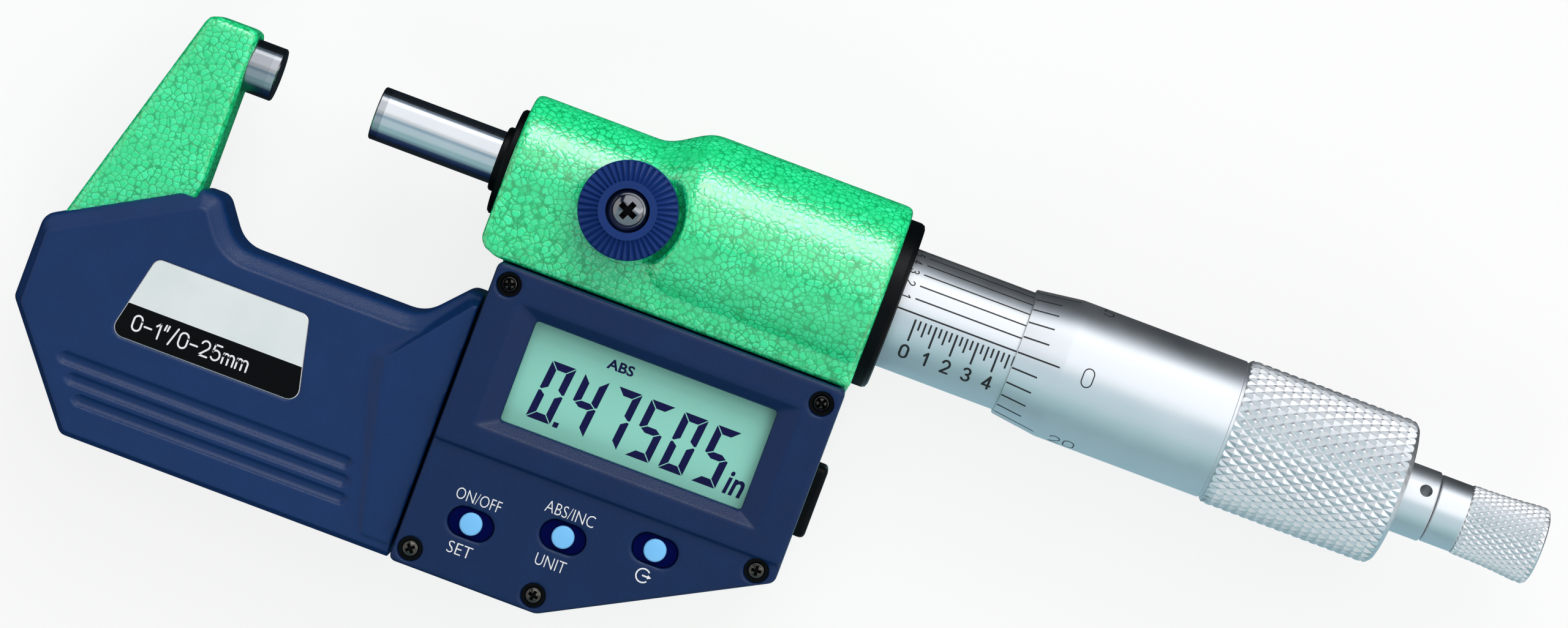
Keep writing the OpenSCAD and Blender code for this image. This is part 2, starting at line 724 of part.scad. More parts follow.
module spindle_bush() {
  color("darkgray")
    difference() {
      bar(housing_x + seal_depth, cavity_x, bush_r);
      bar(housing_x, cavity_x + 1, spindle_r + running);
      post([lock_x, 0], 0, bush_r + 1, stem_r + 0.05);
    }
}

shoe_z = bush_r + 0.3;

module lock_shoe() {
  color("peru")
    difference() {
      post([lock_x, 0], 1.5, shoe_z, stem_r);
      bar(lock_x - 4, lock_x + 4, spindle_r + 0.08);
    }
}

screw_floor_z = lock_z + 1.5;

module lock_stem() {
  color("slategray")
    difference() {
      union() {
        post([lock_x, 0], shoe_z + 0.05, screw_floor_z - 0.1, stem_r);
        post([lock_x, 0], lock_seat_z + 0.1, lock_z, stem_r + 1);
      }
      post([lock_x, 0], shoe_z + 0.8, screw_floor_z + 1, 1 + seat);
    }
}

module lock_knob() {
  hub_r = 3.4;
  rim_r = lock_d / 2;
  pitch = 360 / lock_ribs;
  color("royalblue")
    difference() {
      translate([lock_x, 0, 0])
        rotate_extrude()
          polygon([[0, lock_z], [rim_r - 0.3, lock_z], [rim_r, lock_z + 0.3], [rim_r, lock_face_z - 1],
            [rim_r - 0.15, lock_face_z - 0.8], [hub_r, lock_face_z], [0, lock_face_z]]);
      post([lock_x, 0], lock_z - 1, lock_face_z, stem_r + seat);
      post([lock_x, 0], screw_floor_z, lock_face_z + 1, 2.55);
      for (i = [0 : lock_ribs - 1])
        translate([lock_x, 0, 0])
          rotate([0, 0, (i + 0.5) * pitch])
            translate([hub_r, 0, lock_face_z + 0.02])
              rotate([0, 18.8, 0])
                rotate([45, 0, 0])
                  translate([0, -0.22, -0.22])
                    cube([2.4, 0.44, 0.44]);
    }
}

module lock_screw() {
  head_top = screw_floor_z + 1.5;
  color("gray")
    difference() {
      union() {
        post([lock_x, 0], screw_floor_z, head_top - 0.5, 2.45);
        translate([lock_x, 0, head_top - 0.5])
          cylinder(h = 0.5, r1 = 2.45, r2 = 1.8);
        post([lock_x, 0], shoe_z + 1, screw_floor_z + 0.1, 1);
      }
      for (a = [0, 90])
        translate([lock_x, 0, head_top])
          rotate([0, 0, a])
            cube([2.4, 0.55, 1.8], center = true);
    }
}

module rotor_hub() {
  color("goldenrod")
    difference() {
      union() {
        bar(cavity_x + 0.3, disc_x + 1.6, spindle_r + 1.4);
        bar(disc_x - 0.8, disc_x, spindle_r + 3);
      }
      bar(cavity_x - 1, disc_x + 3, spindle_r + running);
      post([key_x, 0], -10, 0, 0.7 + seat);
    }
}

module rotor_disc() {
  color("seagreen")
    difference() {
      bar(disc_x, disc_x + 1.2, cavity_r - 0.65);
      bar(disc_x - 1, disc_x + 3, spindle_r + 1.4 + seat);
    }
}

module rotor_key() {
  color("dimgray")
    post([key_x, 0], -spindle_r - 1.2, -spindle_r + 0.75, 0.7);
}

module stator() {
  color("darkgreen")
    difference() {
      bar(stator_x, flange_x, cavity_r - 0.05);
      bar(stator_x - 1, flange_x + 1, spindle_r + 2);
    }
}

module sensor_cable() {
  cable_y = unit_top - 0.137 * unit_h;
  color("orange")
    union() {
      block([stator_x, cable_y, 0.9], [flange_x, -cavity_r - 0.1, 1.15]);
      block([stator_x, cable_y, 0.9], [flange_x, cable_y + 1.6, board_z]);
    }
}

module inner_sleeve() {
  flange_r = cavity_r - 0.05;
  bore_r = core_r - 1.1;
  nut_r = screw_r_big + running;
  color("lightsteelblue")
    difference() {
      union() {
        bar(flange_x, flange_x + flange_t, flange_r);
        bar(flange_x, nut_end, core_r);
      }
      bar(flange_x - 1, nut_x, bore_r);
      bar(flange_x, nut_end + 1, nut_r);
      for (a = [0 : 120 : 240])
        rotate([a, 0, 0])
          block([nut_end - 8, -0.35, 0], [nut_end + 1, 0.35, core_r + 1]);
    }
}

module adjusting_nut() {
  color("dimgray")
    difference() {
      bar(sleeve_end + 0.4, nut_end - 0.4, sleeve_r - 0.2);
      bar(sleeve_end - 1, nut_end + 1, core_r + seat);
      for (a = [0, 180])
        rotate([a, 0, 0])
          block([nut_end - 1.5, -0.8, core_r - 0.2], [nut_end + 1, 0.8, sleeve_r + 1]);
    }
}

module sleeve_ring() {
  ring_r = ring_d / 2;
  hole_r = core_r + seat;
  color("black")
    spun([[flange_x + flange_t, hole_r], [flange_x + flange_t, cavity_r - 0.05], [ring_x, cavity_r - 0.05],
      [ring_x, ring_r], [ring_x + ring_w - 0.6, ring_r], [ring_x + ring_w - 0.18, ring_r - 0.18],
      [ring_x + ring_w, ring_r - 0.6], [ring_x + ring_w, sleeve_r + 0.05], [ring_x + 0.6, sleeve_r + 0.05],
      [ring_x + 0.6, hole_r]]);
}

module sleeve() {
  color("silver")
    difference() {
      bar(ring_x + 0.6, sleeve_end, sleeve_r);
      bar(ring_x, sleeve_end + 1, core_r + running);
    }
}

module spindle() {
  screw_start = nut_x - travel - 0.6;
  shank_x = nut_end - 1;
  color("silver")
    translate([opening, 0, 0])
      difference() {
        union() {
          bar(tip_length, screw_start, spindle_r);
          bar(screw_start - 0.1, shank_x, screw_r_big);
          bar(shank_x - 0.1, stop_x, 3);
          bar(stop_x - 0.1, stop_x + 7.5, 2);
        }
        block([key_x - travel - 1.2, -0.75, -spindle_r - 1], [key_x + 1.2, 0.75, 0.9 - spindle_r]);
      }
}

module spindle_tip() {
  color("dimgray")
    translate([opening, 0, 0])
      spun([[0, 0], [0, spindle_r - 0.15], [0.15, spindle_r], [tip_length, spindle_r], [tip_length, 0]]);
}

module thimble() {
  edge_r = thimble_in + 0.3;
  plain_r = thimble_d / 2;
  grip_r = knurl_d / 2;
  grip_at = zero_x + plain_length;
  color("silver")
    translate([opening, 0, 0])
      spun([[zero_x, thimble_in], [zero_x, edge_r], [zero_x + cone_length, plain_r], [grip_at, plain_r],
        [grip_at + 0.25, grip_r - 0.15], [grip_at + 0.4, grip_r], [thimble_end - 1.3, grip_r],
        [thimble_end - 0.9, grip_r - 0.15], [thimble_end - 0.35, grip_r - 0.7], [thimble_end, grip_r - 1.9],
        [thimble_end, stop_d / 2 + 0.3], [stop_x, stop_d / 2 + 0.3], [stop_x, 3 + seat], [hollow_end, 3 + seat],
        [hollow_end, thimble_in]]);
}

module teeth(x, deep, turn) {
  for (i = [0 : clutch_teeth - 1])
    rotate([(i + turn) * 360 / clutch_teeth, 0, 0])
      translate([x, 0, 0])
        rotate([0, 0, 45])
          block([-deep, -deep, post_r + 0.5], [deep, deep, 5]);
}

module ratchet_stop() {
  stop_r = stop_d / 2;
  face_x = thimble_end + stop_length;
  color("silver")
    translate([opening, 0, 0])
      difference() {
        union() {
          spun([[stop_x, 0], [stop_x, stop_r], [face_x - 0.15, stop_r], [face_x, stop_r - 0.15], [face_x, 0]]);
          bar(face_x - 0.1, post_end, post_r);
        }
        bar(stop_x - 1, stop_x + 7.6, 2 + seat);
        bar(post_end - 5, post_end + 1, 0.8 + seat);
        translate([thimble_end + 2.6, 0, 0])
          rotate([-25, 0, 0])
            cylinder(h = 9, r = 0.75);
        intersection() {
          teeth(face_x, tooth_h / 2, 0);
          bar(face_x - 2, face_x + 2, 3.1);
        }
      }
}

module ratchet_clutch() {
  color("slategray")
    translate([opening, 0, 0])
      difference() {
        bar(clutch_x, clutch_x + 3, 3.2);
        bar(clutch_x - 1, clutch_x + 4, post_r + 0.06);
        teeth(clutch_x, tooth_h / 2, 0.5);
      }
}

module ratchet_spring() {
  turns = 6;
  steps = 20;
  sides = 6;
  wire = 0.25;
  first = clutch_x + 3 + wire;
  rise = post_end - 1.5 - wire - first;
  n = turns * steps;
  color("gray")
    translate([opening, 0, 0])
      polyhedron(
        points = [for (i = [0 : n]) for (k = [0 : sides - 1])
          let (a = 360 * i / steps, b = 360 * k / sides, r = 2.2 + wire * cos(b))
            [first + rise * i / n + wire * sin(b), r * cos(a), r * sin(a)]],
        faces = [[for (k = [0 : sides - 1]) k], [for (k = [sides - 1 : -1 : 0]) n * sides + k],
          for (i = [0 : n - 1]) for (k = [0 : sides - 1])
            [i * sides + k, (i + 1) * sides + k, (i + 1) * sides + (k + 1) % sides, i * sides + (k + 1) % sides]]);
}

module ratchet_knob() {
  neck_r = neck_d / 2;
  waist_r = neck_r + 0.15;
  end_r = knob_d / 2;
  wall_x = post_end - 1.5;
  color("silver")
    translate([opening, 0, 0])
      spun(concat(
        [[neck_x, 3.25], [neck_x, neck_r - 0.15], [neck_x + 0.15, neck_r], [grasp_x, neck_r], [grasp_x + 0.2, waist_r]],
        [for (i = [1 : 8]) [grasp_x + 0.2 + (knob_length - 1.9) * i / 8, waist_r + (end_r - waist_r) * pow(i / 8, 2)]],
        [[knob_end - 0.7, end_r], [knob_end - 0.3, end_r - 0.15], [knob_end, end_r - 0.6], [knob_end, 3], [post_end + 0.1, 3],
          [post_end + 0.1, post_r + running], [wall_x, post_r + running], [wall_x, 2.7], [clutch_x + 3.2, 2.7],
          [clutch_x + 3.2, 3.25]]));
}

module ratchet_screw() {
  color("gray")
    translate([opening, 0, 0])
      difference() {
        union() {
          bar(post_end + 0.1, post_end + 1.5, 2.4);
          bar(post_end - 4.5, post_end + 0.2, 0.8);
        }
        translate([post_end + 1.5, 0, 0])
          cube([1.2, 0.6, 6], center = true);
      }
}

frame();
anvil();
anvil_tip();
grip_front();
grip_back();
range_plate();
display_cover();
display_window();
lcd_panel();
lcd_connectors();
circuit_board();
keypad();
key_switches();
cover_screws();
cover_gasket();
battery();
battery_contact();
battery_cap();
cap_seal();
port_socket();
port_plug();
on_off_key();
abs_key();
data_key();
seal_cap();
wiper_seal();
spindle_bush();
lock_shoe();
lock_stem();
lock_knob();
lock_screw();
rotor_hub();
rotor_disc();
rotor_key();
stator();
sensor_cable();
inner_sleeve();
adjusting_nut();
sleeve_ring();
sleeve();
spindle();
spindle_tip();
thimble();
ratchet_stop();
ratchet_knob();
ratchet_clutch();
ratchet_spring();
ratchet_screw();
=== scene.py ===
import math

import bmesh
import bpy
from mathutils import Matrix, Vector


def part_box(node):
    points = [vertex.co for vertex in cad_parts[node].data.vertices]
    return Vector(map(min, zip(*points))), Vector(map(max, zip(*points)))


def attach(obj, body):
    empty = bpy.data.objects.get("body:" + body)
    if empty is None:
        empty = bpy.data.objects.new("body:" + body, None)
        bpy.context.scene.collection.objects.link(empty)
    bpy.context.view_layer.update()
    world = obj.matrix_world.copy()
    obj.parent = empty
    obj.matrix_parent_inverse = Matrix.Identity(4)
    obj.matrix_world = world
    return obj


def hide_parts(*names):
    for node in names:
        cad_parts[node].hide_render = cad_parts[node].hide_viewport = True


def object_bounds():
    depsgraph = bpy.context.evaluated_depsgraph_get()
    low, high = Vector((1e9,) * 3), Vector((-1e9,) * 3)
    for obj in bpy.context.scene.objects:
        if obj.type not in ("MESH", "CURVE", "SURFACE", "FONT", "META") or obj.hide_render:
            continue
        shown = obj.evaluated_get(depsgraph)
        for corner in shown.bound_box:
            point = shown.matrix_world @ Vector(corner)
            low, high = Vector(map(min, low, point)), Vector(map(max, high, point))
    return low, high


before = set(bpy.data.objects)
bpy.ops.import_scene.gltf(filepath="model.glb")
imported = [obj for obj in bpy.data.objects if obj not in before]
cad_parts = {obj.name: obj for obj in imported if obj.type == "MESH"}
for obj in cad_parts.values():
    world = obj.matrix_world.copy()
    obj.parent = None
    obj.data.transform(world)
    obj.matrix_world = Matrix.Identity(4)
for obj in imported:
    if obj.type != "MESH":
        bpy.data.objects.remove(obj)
cad_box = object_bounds()

# The table and the studio. The micrometer lies on its back on a pale table under the lens.
# A large soft lamp and a strip lamp hang behind its upper edge, a weak one stands in front,
# and a vault of coloured cards gives the round steel, which the strip lamp leaves out, its bands.
MM = 0.001
scene = bpy.context.scene
scene.view_settings.view_transform = "Standard"


def stand(name, data):
    """Puts a new object with its data into the scene."""
    made = bpy.data.objects.new(name, data)
    scene.collection.objects.link(made)
    return made


look_at = Vector((64.26, -5.33, 0)) * MM
lens_distance = 620.7 * MM
field_width = 181.3 * MM
lean = math.radians(2.72)
roll = math.radians(20.57)
camera_data = bpy.data.cameras.new("camera")
camera_data.sensor_width = 36
camera_data.lens = camera_data.sensor_width * lens_distance / field_width
camera_data.clip_start = 0.01
camera = stand("camera", camera_data)
camera_place = look_at + lens_distance * Vector((0, math.sin(lean), math.cos(lean)))
camera_turn = Matrix.Rotation(-lean, 4, "X") @ Matrix.Rotation(roll, 4, "Z")
camera.matrix_world = Matrix.Translation(camera_place) @ camera_turn
scene.camera = camera


def add_lamp(name, place, aim, size, power):
    """Hangs a rectangular soft lamp that faces a point; sizes and places in metres."""
    data = bpy.data.lights.new(name, "AREA")
    data.shape = "RECTANGLE"
    data.size, data.size_y = size
    data.energy = power
    lamp = stand(name, data)
    lamp.location = place
    lamp.rotation_mode = "QUATERNION"
    lamp.rotation_quaternion = (Vector(aim) - Vector(place)).to_track_quat("-Z", "Y")
    lamp.visible_camera = False
    return lamp


add_lamp("main_lamp", (0.26, 0.55, 0.61), (0.06, 0, 0), (1.1, 1.1), 5.2)
strip_lamp = add_lamp("strip_lamp", (0.06, 0.70, 0.47), (0.06, 0.005, 0), (0.5, 0.42), 2.5)
strip_lamp.light_linking.receiver_collection = bpy.data.collections.new("out_of_strip_light")
front_lamp = add_lamp("front_lamp", (0.30, -0.80, 0.70), (0.06, -0.01, 0), (0.60, 0.60), 3.5)
front_lamp.visible_glossy = False


def add_node(tree, kind, inputs=None, **settings):
    """Adds a node; inputs maps a socket's name or place to a value or to another node's output."""
    made = tree.nodes.new(kind)
    for key, value in settings.items():
        setattr(made, key, value)
    for key, value in (inputs or {}).items():
        if isinstance(value, bpy.types.NodeSocket):
            tree.links.new(value, made.inputs[key])
        else:
            made.inputs[key].default_value = value
    return made


def math_node(tree, operation, *values):
    """One step of arithmetic on numbers or outputs."""
    return add_node(tree, "ShaderNodeMath", dict(enumerate(values)), operation=operation).outputs[0]


def bare_tree(owner):
    """The node tree of a world or a material, emptied."""
    owner.use_nodes = True
    owner.node_tree.nodes.clear()
    return owner.node_tree


def seen_directly(tree):
    """Gives 1 for the rays that show the background: straight, in a reflection or through glass."""
    path = add_node(tree, "ShaderNodeLightPath").outputs
    either = math_node(tree, "MAXIMUM", path["Is Camera Ray"], path["Is Glossy Ray"])
    return math_node(tree, "MAXIMUM", either, path["Is Transmission Ray"])


scene.world = bpy.data.worlds.new("studio")
tree = bare_tree(scene.world)
ambient = add_node(tree, "ShaderNodeBackground", {"Color": (0.92, 0.96, 1.0, 1), "Strength": 0.30})
white = add_node(tree, "ShaderNodeBackground", {"Color": (1, 1, 1, 1), "Strength": 1.0})
sky_parts = {0: seen_directly(tree), 1: ambient.outputs[0], 2: white.outputs[0]}
sky = add_node(tree, "ShaderNodeMixShader", sky_parts)
add_node(tree, "ShaderNodeOutputWorld", {"Surface": sky.outputs[0]})


def plain_mesh(name, points, faces):
    """A mesh from points in millimetres."""
    made = bpy.data.meshes.new(name)
    made.from_pydata([Vector(p) * MM for p in points], [], faces)
    made.update()
    return made


def level_corners(left, near, right, far, z):
    """The corners of a level rectangle."""
    return [(left, near, z), (right, near, z), (right, far, z), (left, far, z)]


one_face = [(0, 1, 2, 3)]
reach = 4000
table_z = cad_box[0].z / MM - 0.05
table_corners = level_corners(-reach, -reach, reach, reach, table_z)
table = stand("table", plain_mesh("table", table_corners, one_face))
table_paint = bpy.data.materials.new("table_paint")
tree = bare_tree(table_paint)
matt = add_node(tree, "ShaderNodeBsdfDiffuse", {"Color": (0.86, 0.86, 0.86, 1)})
glow = add_node(tree, "ShaderNodeEmission", {"Color": (1, 1, 1, 1), "Strength": 1.0})
glow_share = math_node(tree, "MULTIPLY", seen_directly(tree), 0.82)
top_parts = {0: glow_share, 1: matt.outputs[0], 2: glow.outputs[0]}
table_top = add_node(tree, "ShaderNodeMixShader", top_parts)
add_node(tree, "ShaderNodeOutputMaterial", {"Surface": table_top.outputs[0]})
table.data.materials.append(table_paint)

vault_r, vault_left, vault_right = 1300, -700, 830
cards = []
for low, high, colour in (
    (-92, -66, (0.22, 0.38, 0.43)),
    (-66, -42, (0.40, 0.64, 0.68)),
    (-42, -11, (0.66, 0.84, 0.91)),
    (-11, 1, (0.36, 0.54, 0.66)),
    (1, 14, (0.92, 0.97, 1.0)),
    (14, 62, (0.010, 0.028, 0.085)),
    (62, 81, (0.98, 1.02, 1.06)),
    (81, 100, (0.10, 0.20, 0.32)),
):
    corners = []
    for degrees, x in ((low, vault_left), (low, vault_right), (high, vault_right), (high, vault_left)):
        turn = math.radians(degrees)
        corners.append((x, vault_r * math.sin(turn), vault_r * math.cos(turn)))
    cards.append((corners, colour))
floor_z = table_z + 0.2
dark, pale = (0.012, 0.018, 0.024), (0.34, 0.54, 0.62)
cards.append((level_corners(-200, 0, 400, 420, floor_z), dark))
cards.append((level_corners(-200, -420, 76, 0, floor_z), dark))
cards.append((level_corners(76, -420, 400, 0, floor_z), pale))
for i, (corners, colour) in enumerate(cards):
    card = stand(f"card_{i}", plain_mesh(f"card_{i}", corners, one_face))
    paper = bpy.data.materials.new(f"card_paper_{i}")
    tree = bare_tree(paper)
    light = add_node(tree, "ShaderNodeEmission", {"Color": colour + (1,)})
    add_node(tree, "ShaderNodeOutputMaterial", {"Surface": light.outputs[0]})
    card.data.materials.append(paper)
    card.visible_camera = False
    card.visible_diffuse = False
    card.visible_transmission = False
    card.visible_shadow = False

# The frame: one iron casting with the anvil arm, the web between the grip covers, the
# spindle housing and the bay behind the display. Its edges are soft from the mould,
# and it is sprayed with a green hammered enamel.


def srgb(red, green, blue):
    """A colour as a screen shows it, 0 to 255, as the linear colour that a shader takes."""
    parts = [c / 255 for c in (red, green, blue)]
    return tuple(c / 12.92 if c <= 0.04045 else ((c + 0.055) / 1.055) ** 2.4 for c in parts) + (1.0,)


def new_finish(name, **sockets):
    """Starts a material: its shader's sockets are set here, and its tree and shader are returned too."""
    made = bpy.data.materials.new(name)
    made.use_nodes = True
    shader = made.node_tree.nodes["Principled BSDF"]
    for key, value in sockets.items():
        shader.inputs[key.replace("_", " ")].default_value = value
    return made, made.node_tree, shader


def object_place(tree):
    """The place on a piece, for a pattern to read."""
    return add_node(tree, "ShaderNodeTexCoord").outputs["Object"]


def noise(tree, place, scale, detail, roughness=0.5):
    """A noise pattern; its outputs are returned."""
    values = {"Vector": place, "Scale": scale, "Detail": detail, "Roughness": roughness}
    return add_node(tree, "ShaderNodeTexNoise", values).outputs


def vector_node(tree, operation, first, second):
    """One step of arithmetic on places."""
    return add_node(tree, "ShaderNodeVectorMath", {0: first, 1: second}, operation=operation).outputs[0]


def ranged(tree, value, low, high, new_low=0.0, new_high=1.0, **settings):
    """Carries a value from one range over to another."""
    ends = {"From Min": low, "From Max": high, "To Min": new_low, "To Max": new_high}
    return add_node(tree, "ShaderNodeMapRange", {"Value": value, **ends}, **settings).outputs[0]


def blend_colours(tree, factor, first, second):
    """Mixes two colours, or outputs, by a factor."""
    return add_node(tree, "ShaderNodeMix", {0: factor, 6: first, 7: second}, data_type="RGBA").outputs[2]


def add_bump(tree, shader, height, depth):
    """Feeds a height, in units of the given depth in millimetres, to the shader's normal."""
    bump = add_node(tree, "ShaderNodeBump", {"Height": height, "Strength": 1.0, "Distance": depth * MM})
    tree.links.new(bump.outputs[0], shader.inputs["Normal"])


cell_size = 0.76
drift_size, drift_reach = 0.98 * cell_size, 0.67 * cell_size
cell_depth = 0.024
green_paint, tree, shader = new_finish("green_paint", Roughness=0.14, IOR=1.7, Specular_IOR_Level=0.72)
place = object_place(tree)
drift = noise(tree, place, 1 / (drift_size * MM), 3.0)["Color"]
drift = vector_node(tree, "SUBTRACT", drift, (0.5, 0.5, 0.5))
drift = vector_node(tree, "MULTIPLY", drift, (drift_reach * MM,) * 3)
warped = vector_node(tree, "ADD", place, drift)
cell_values = {"Vector": warped, "Scale": 1 / (cell_size * MM), "Randomness": 0.85}
edges = add_node(tree, "ShaderNodeTexVoronoi", cell_values, feature="DISTANCE_TO_EDGE").outputs[0]
cells = add_node(tree, "ShaderNodeTexVoronoi", cell_values, feature="F1").outputs
zone = ranged(tree, noise(tree, place, 260.0, 2.0)[0], 0.40, 0.68, 0.0, 0.65)
line_free = ranged(tree, edges, 0.0, 0.11, interpolation_type="SMOOTHSTEP")
line_free = math_node(tree, "MAXIMUM", line_free, zone)
off_centre = cells["Distance"]
hollow = ranged(tree, off_centre, 0.58, 0.82, 1.0, 0.35)
vein = math_node(tree, "MULTIPLY", line_free, hollow)
tone = add_node(tree, "ShaderNodeSeparateColor", {0: cells["Color"]}).outputs[0]
fleck = blend_colours(tree, tone, srgb(26, 233, 143), srgb(52, 249, 168))
fleck = blend_colours(tree, zone, fleck, srgb(28, 218, 129))
# Each cell is painted lighter at its centre, a painted highlight on the top of its dome.
middle = ranged(tree, off_centre, 0.06, 0.24, 0.4, 0.0)
fleck = blend_colours(tree, middle, fleck, srgb(120, 246, 190))
enamel = blend_colours(tree, vein, srgb(6, 168, 88), fleck)
tree.links.new(enamel, shader.inputs["Base Color"])
dome = ranged(tree, edges, 0.0, 0.30, interpolation_type="SMOOTHSTEP")
add_bump(tree, shader, dome, cell_depth)


def reworked(mesh, change):
    """Opens a mesh for a change to its points, edges or faces."""
    shape = bmesh.new()
    shape.from_mesh(mesh)
    change(shape)
    shape.to_mesh(mesh)
    shape.free()
    return mesh


def evaluated_mesh(holder):
    """The mesh that an object's modifiers make; the object itself is taken away."""
    graph = bpy.context.evaluated_depsgraph_get()
    mesh = bpy.data.meshes.new_from_object(holder.evaluated_get(graph), depsgraph=graph)
    bpy.data.objects.remove(holder)
    return mesh


def smooth_faces(mesh, sharp_angle=180):
    """Shades a mesh smooth, but keeps edges sharper than the angle in degrees."""
    limit = math.radians(sharp_angle)

    def shade(shape):
        for face in shape.faces:
            face.smooth = True
        for edge in shape.edges:
            edge.smooth = len(edge.link_faces) == 2 and edge.calc_face_angle(0) < limit

    return reworked(mesh, shade)


def rounded_copy(node_name, grain, rounds):
    """A merged copy of a node with every edge eased, as a mould leaves it; the grain in millimetres."""
    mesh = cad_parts[node_name].data.copy()
    reworked(mesh, lambda shape: bmesh.ops.remove_doubles(shape, verts=shape.verts, dist=1e-6))
    holder = stand(node_name + "_copy", mesh)
    skin = holder.modifiers.new("skin", "REMESH")
    skin.mode = "VOXEL"
    skin.voxel_size = grain * MM
    ease = holder.modifiers.new("ease", "SMOOTH")
    ease.factor = 0.5
    ease.iterations = rounds
    return smooth_faces(evaluated_mesh(holder))


def add_piece(name, mesh, finish, body, slot, *stands_for):
    """Makes a finished mesh a piece that moves with a body and stands for the named nodes."""
    mesh.materials.clear()
    mesh.materials.append(finish)
    piece = stand(name, mesh)
    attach(piece, body)
    if stands_for:
        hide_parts(*stands_for)
    return piece


casting = rounded_copy("frame", 0.41, 3)
add_piece("frame_casting", casting, green_paint, "frame_body", "green_paint", "frame")

# The anvil: a ground and hardened steel pin, pressed into the arm, with a lapped
# carbide tip brazed to its measuring face.


def grain_group(name, fineness, clouds, stretch, roughness):
    """A shared effect: a fine height, stretched along its lines, and a broad clouding."""
    group = bpy.data.node_groups.new(name, "ShaderNodeTree")
    sockets = group.interface
    sockets.new_socket("Place", in_out="INPUT", socket_type="NodeSocketVector")
    for label, value in (("Fineness", fineness), ("Clouds", clouds)):
        sockets.new_socket(label, in_out="INPUT", socket_type="NodeSocketFloat").default_value = value
    for label in ("Height", "Clouding"):
        sockets.new_socket(label, in_out="OUTPUT", socket_type="NodeSocketFloat")
    given = group.nodes.new("NodeGroupInput").outputs
    drawn = vector_node(group, "MULTIPLY", given["Place"], stretch)
    fine = noise(group, drawn, given["Fineness"], 2.0, roughness)[0]
    broad = noise(group, given["Place"], given["Clouds"], 3.0)[0]
    add_node(group, "NodeGroupOutput", {"Height": fine, "Clouding": broad})
    return group


def grained(name, group, tones, roughness, shine, fineness, depth, turn=None, **sockets):
    """A finish with a shared grain: clouded colour, uneven shine, and relief of a depth in millimetres."""
    made, tree, shader = new_finish(name, **sockets)
    place = object_place(tree)
    if turn:
        place = add_node(tree, "ShaderNodeMapping", {"Vector": place, "Rotation": turn}).outputs[0]
    values = {"Place": place, "Fineness": fineness}
    grain = add_node(tree, "ShaderNodeGroup", values, node_tree=group).outputs
    dark, light = [srgb(*tone) for tone in tones]
    tone = blend_colours(tree, grain["Clouding"], dark, light)
    tree.links.new(tone, shader.inputs["Base Color"])
    source, low, high = shine
    gloss = ranged(tree, grain[source], low, high, *roughness)
    tree.links.new(gloss, shader.inputs["Roughness"])
    add_bump(tree, shader, grain["Height"], depth)
    return made


turned_lines = grain_group("turned_lines", 8000.0, 150.0, (1.0, 0.03, 0.03), 0.5)


def turned_metal(name, dark, light, roughness, fineness=8000.0, depth=0.004, turn=None):
    """Bare metal cut on a lathe or grinder: fine lines round the axis and a clouding of its shine."""
    shine = ("Clouding", 0.25, 0.75)
    return grained(name, turned_lines, (dark, light), roughness, shine, fineness, depth, turn, Metallic=1.0)


def dress(finish, *names):
    """Gives nodes their finish."""
    for name in names:
        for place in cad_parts[name].material_slots:
            place.material = finish


# The anvil's steel is a darker copy of the ground steel, a painted shade for the dim reflections round the
# anvil.
shaded_anvil_steel = turned_metal("shaded_anvil_steel", (146, 149, 153), (164, 167, 170), (0.14, 0.20))
carbide = turned_metal("carbide", (156, 158, 162), (174, 176, 179), (0.14, 0.20), 6000.0, 0.002)
dress(shaded_anvil_steel, "anvil")
dress(carbide, "anvil_tip")

# The grip covers: two moulded navy shells with a fine spark-eroded texture, clipped and glued
# over the web, so that the hand doesn't warm the casting. The casting's edge in the seam
# beside the display is painted black, a painted shade for the dark gap.
moulded_grain = grain_group("moulded_grain", 5200.0, 260.0, (1.0, 1.0, 1.0), 0.6)


def moulded(name, dark, light, roughness, fineness=5200.0, depth=0.02, gleam=0.5):
    """Moulded plastic or rubber: a fine grain in its surface and a slight clouding of its colour."""
    tones, shine = (dark, light), ("Height", 0.3, 0.7)
    return grained(name, moulded_grain, tones, roughness, shine, fineness, depth, Specular_IOR_Level=gleam)


grip_plastic = moulded("grip_plastic", (0, 38, 85), (3, 46, 97), (0.32, 0.45), depth=0.03, gleam=0.28)
shell_grain, shell_rounds = 0.22, 2
for node_name in ("grip_front", "grip_back"):
    shell = rounded_copy(node_name, shell_grain, shell_rounds)
    add_piece(node_name + "_moulding", shell, grip_plastic, "frame_body", "grip_plastic", node_name)

# A flat black that stands in for shade: painted shade in this seam and in the screws' crosses below.
painted_shade_black = moulded("painted_shade_black", (4, 4, 5), (9, 9, 10), (0.5, 0.7), 4000.0, 0.004, 0.1)
seam_left, seam_right, seam_end, seam_floor = 30.8, 32.2, -20.5, -5
casting.materials.append(painted_shade_black)
for face in casting.polygons:
    x, y, z = face.center / MM
    face.material_index = int(seam_left < x < seam_right and y < seam_end and z > seam_floor)

# The range plate: a thin anodised aluminium plate glued into the front cover. Its upper part
# is bare, and its lower part is printed black with the range in white.


def rounded_outline(corners, steps=6):
    """A closed outline with round corners, from (x, y, radius) rows."""
    line = []
    count = len(corners)
    for i, (x, y, radius) in enumerate(corners):
        corner = Vector((x, y))
        before = (Vector(corners[i - 1][:2]) - corner).normalized()
        after = (Vector(corners[(i + 1) % count][:2]) - corner).normalized()
        half = before.angle(after) / 2
        middle = corner + (before + after).normalized() * radius / math.sin(half)
        start = corner + before * radius / math.tan(half) - middle
        sweep = start.angle_signed(corner + after * radius / math.tan(half) - middle)
        for k in range(steps + 1):
            turn = Matrix.Rotation(-sweep * k / steps, 2)
            line.append(tuple(middle + turn @ start))
    return line


def shrunk(corners, middle, by):
    """Moves an outline's corners towards its middle."""
    made = []
    for x, y, radius in corners:
        made.append((x - math.copysign(by, x - middle.x), y - math.copysign(by, y - middle.y), radius))
    return made


def face_outward(mesh):
    """Turns every face of a closed mesh outward."""
    return reworked(mesh, lambda shape: bmesh.ops.recalc_face_normals(shape, faces=shape.faces))


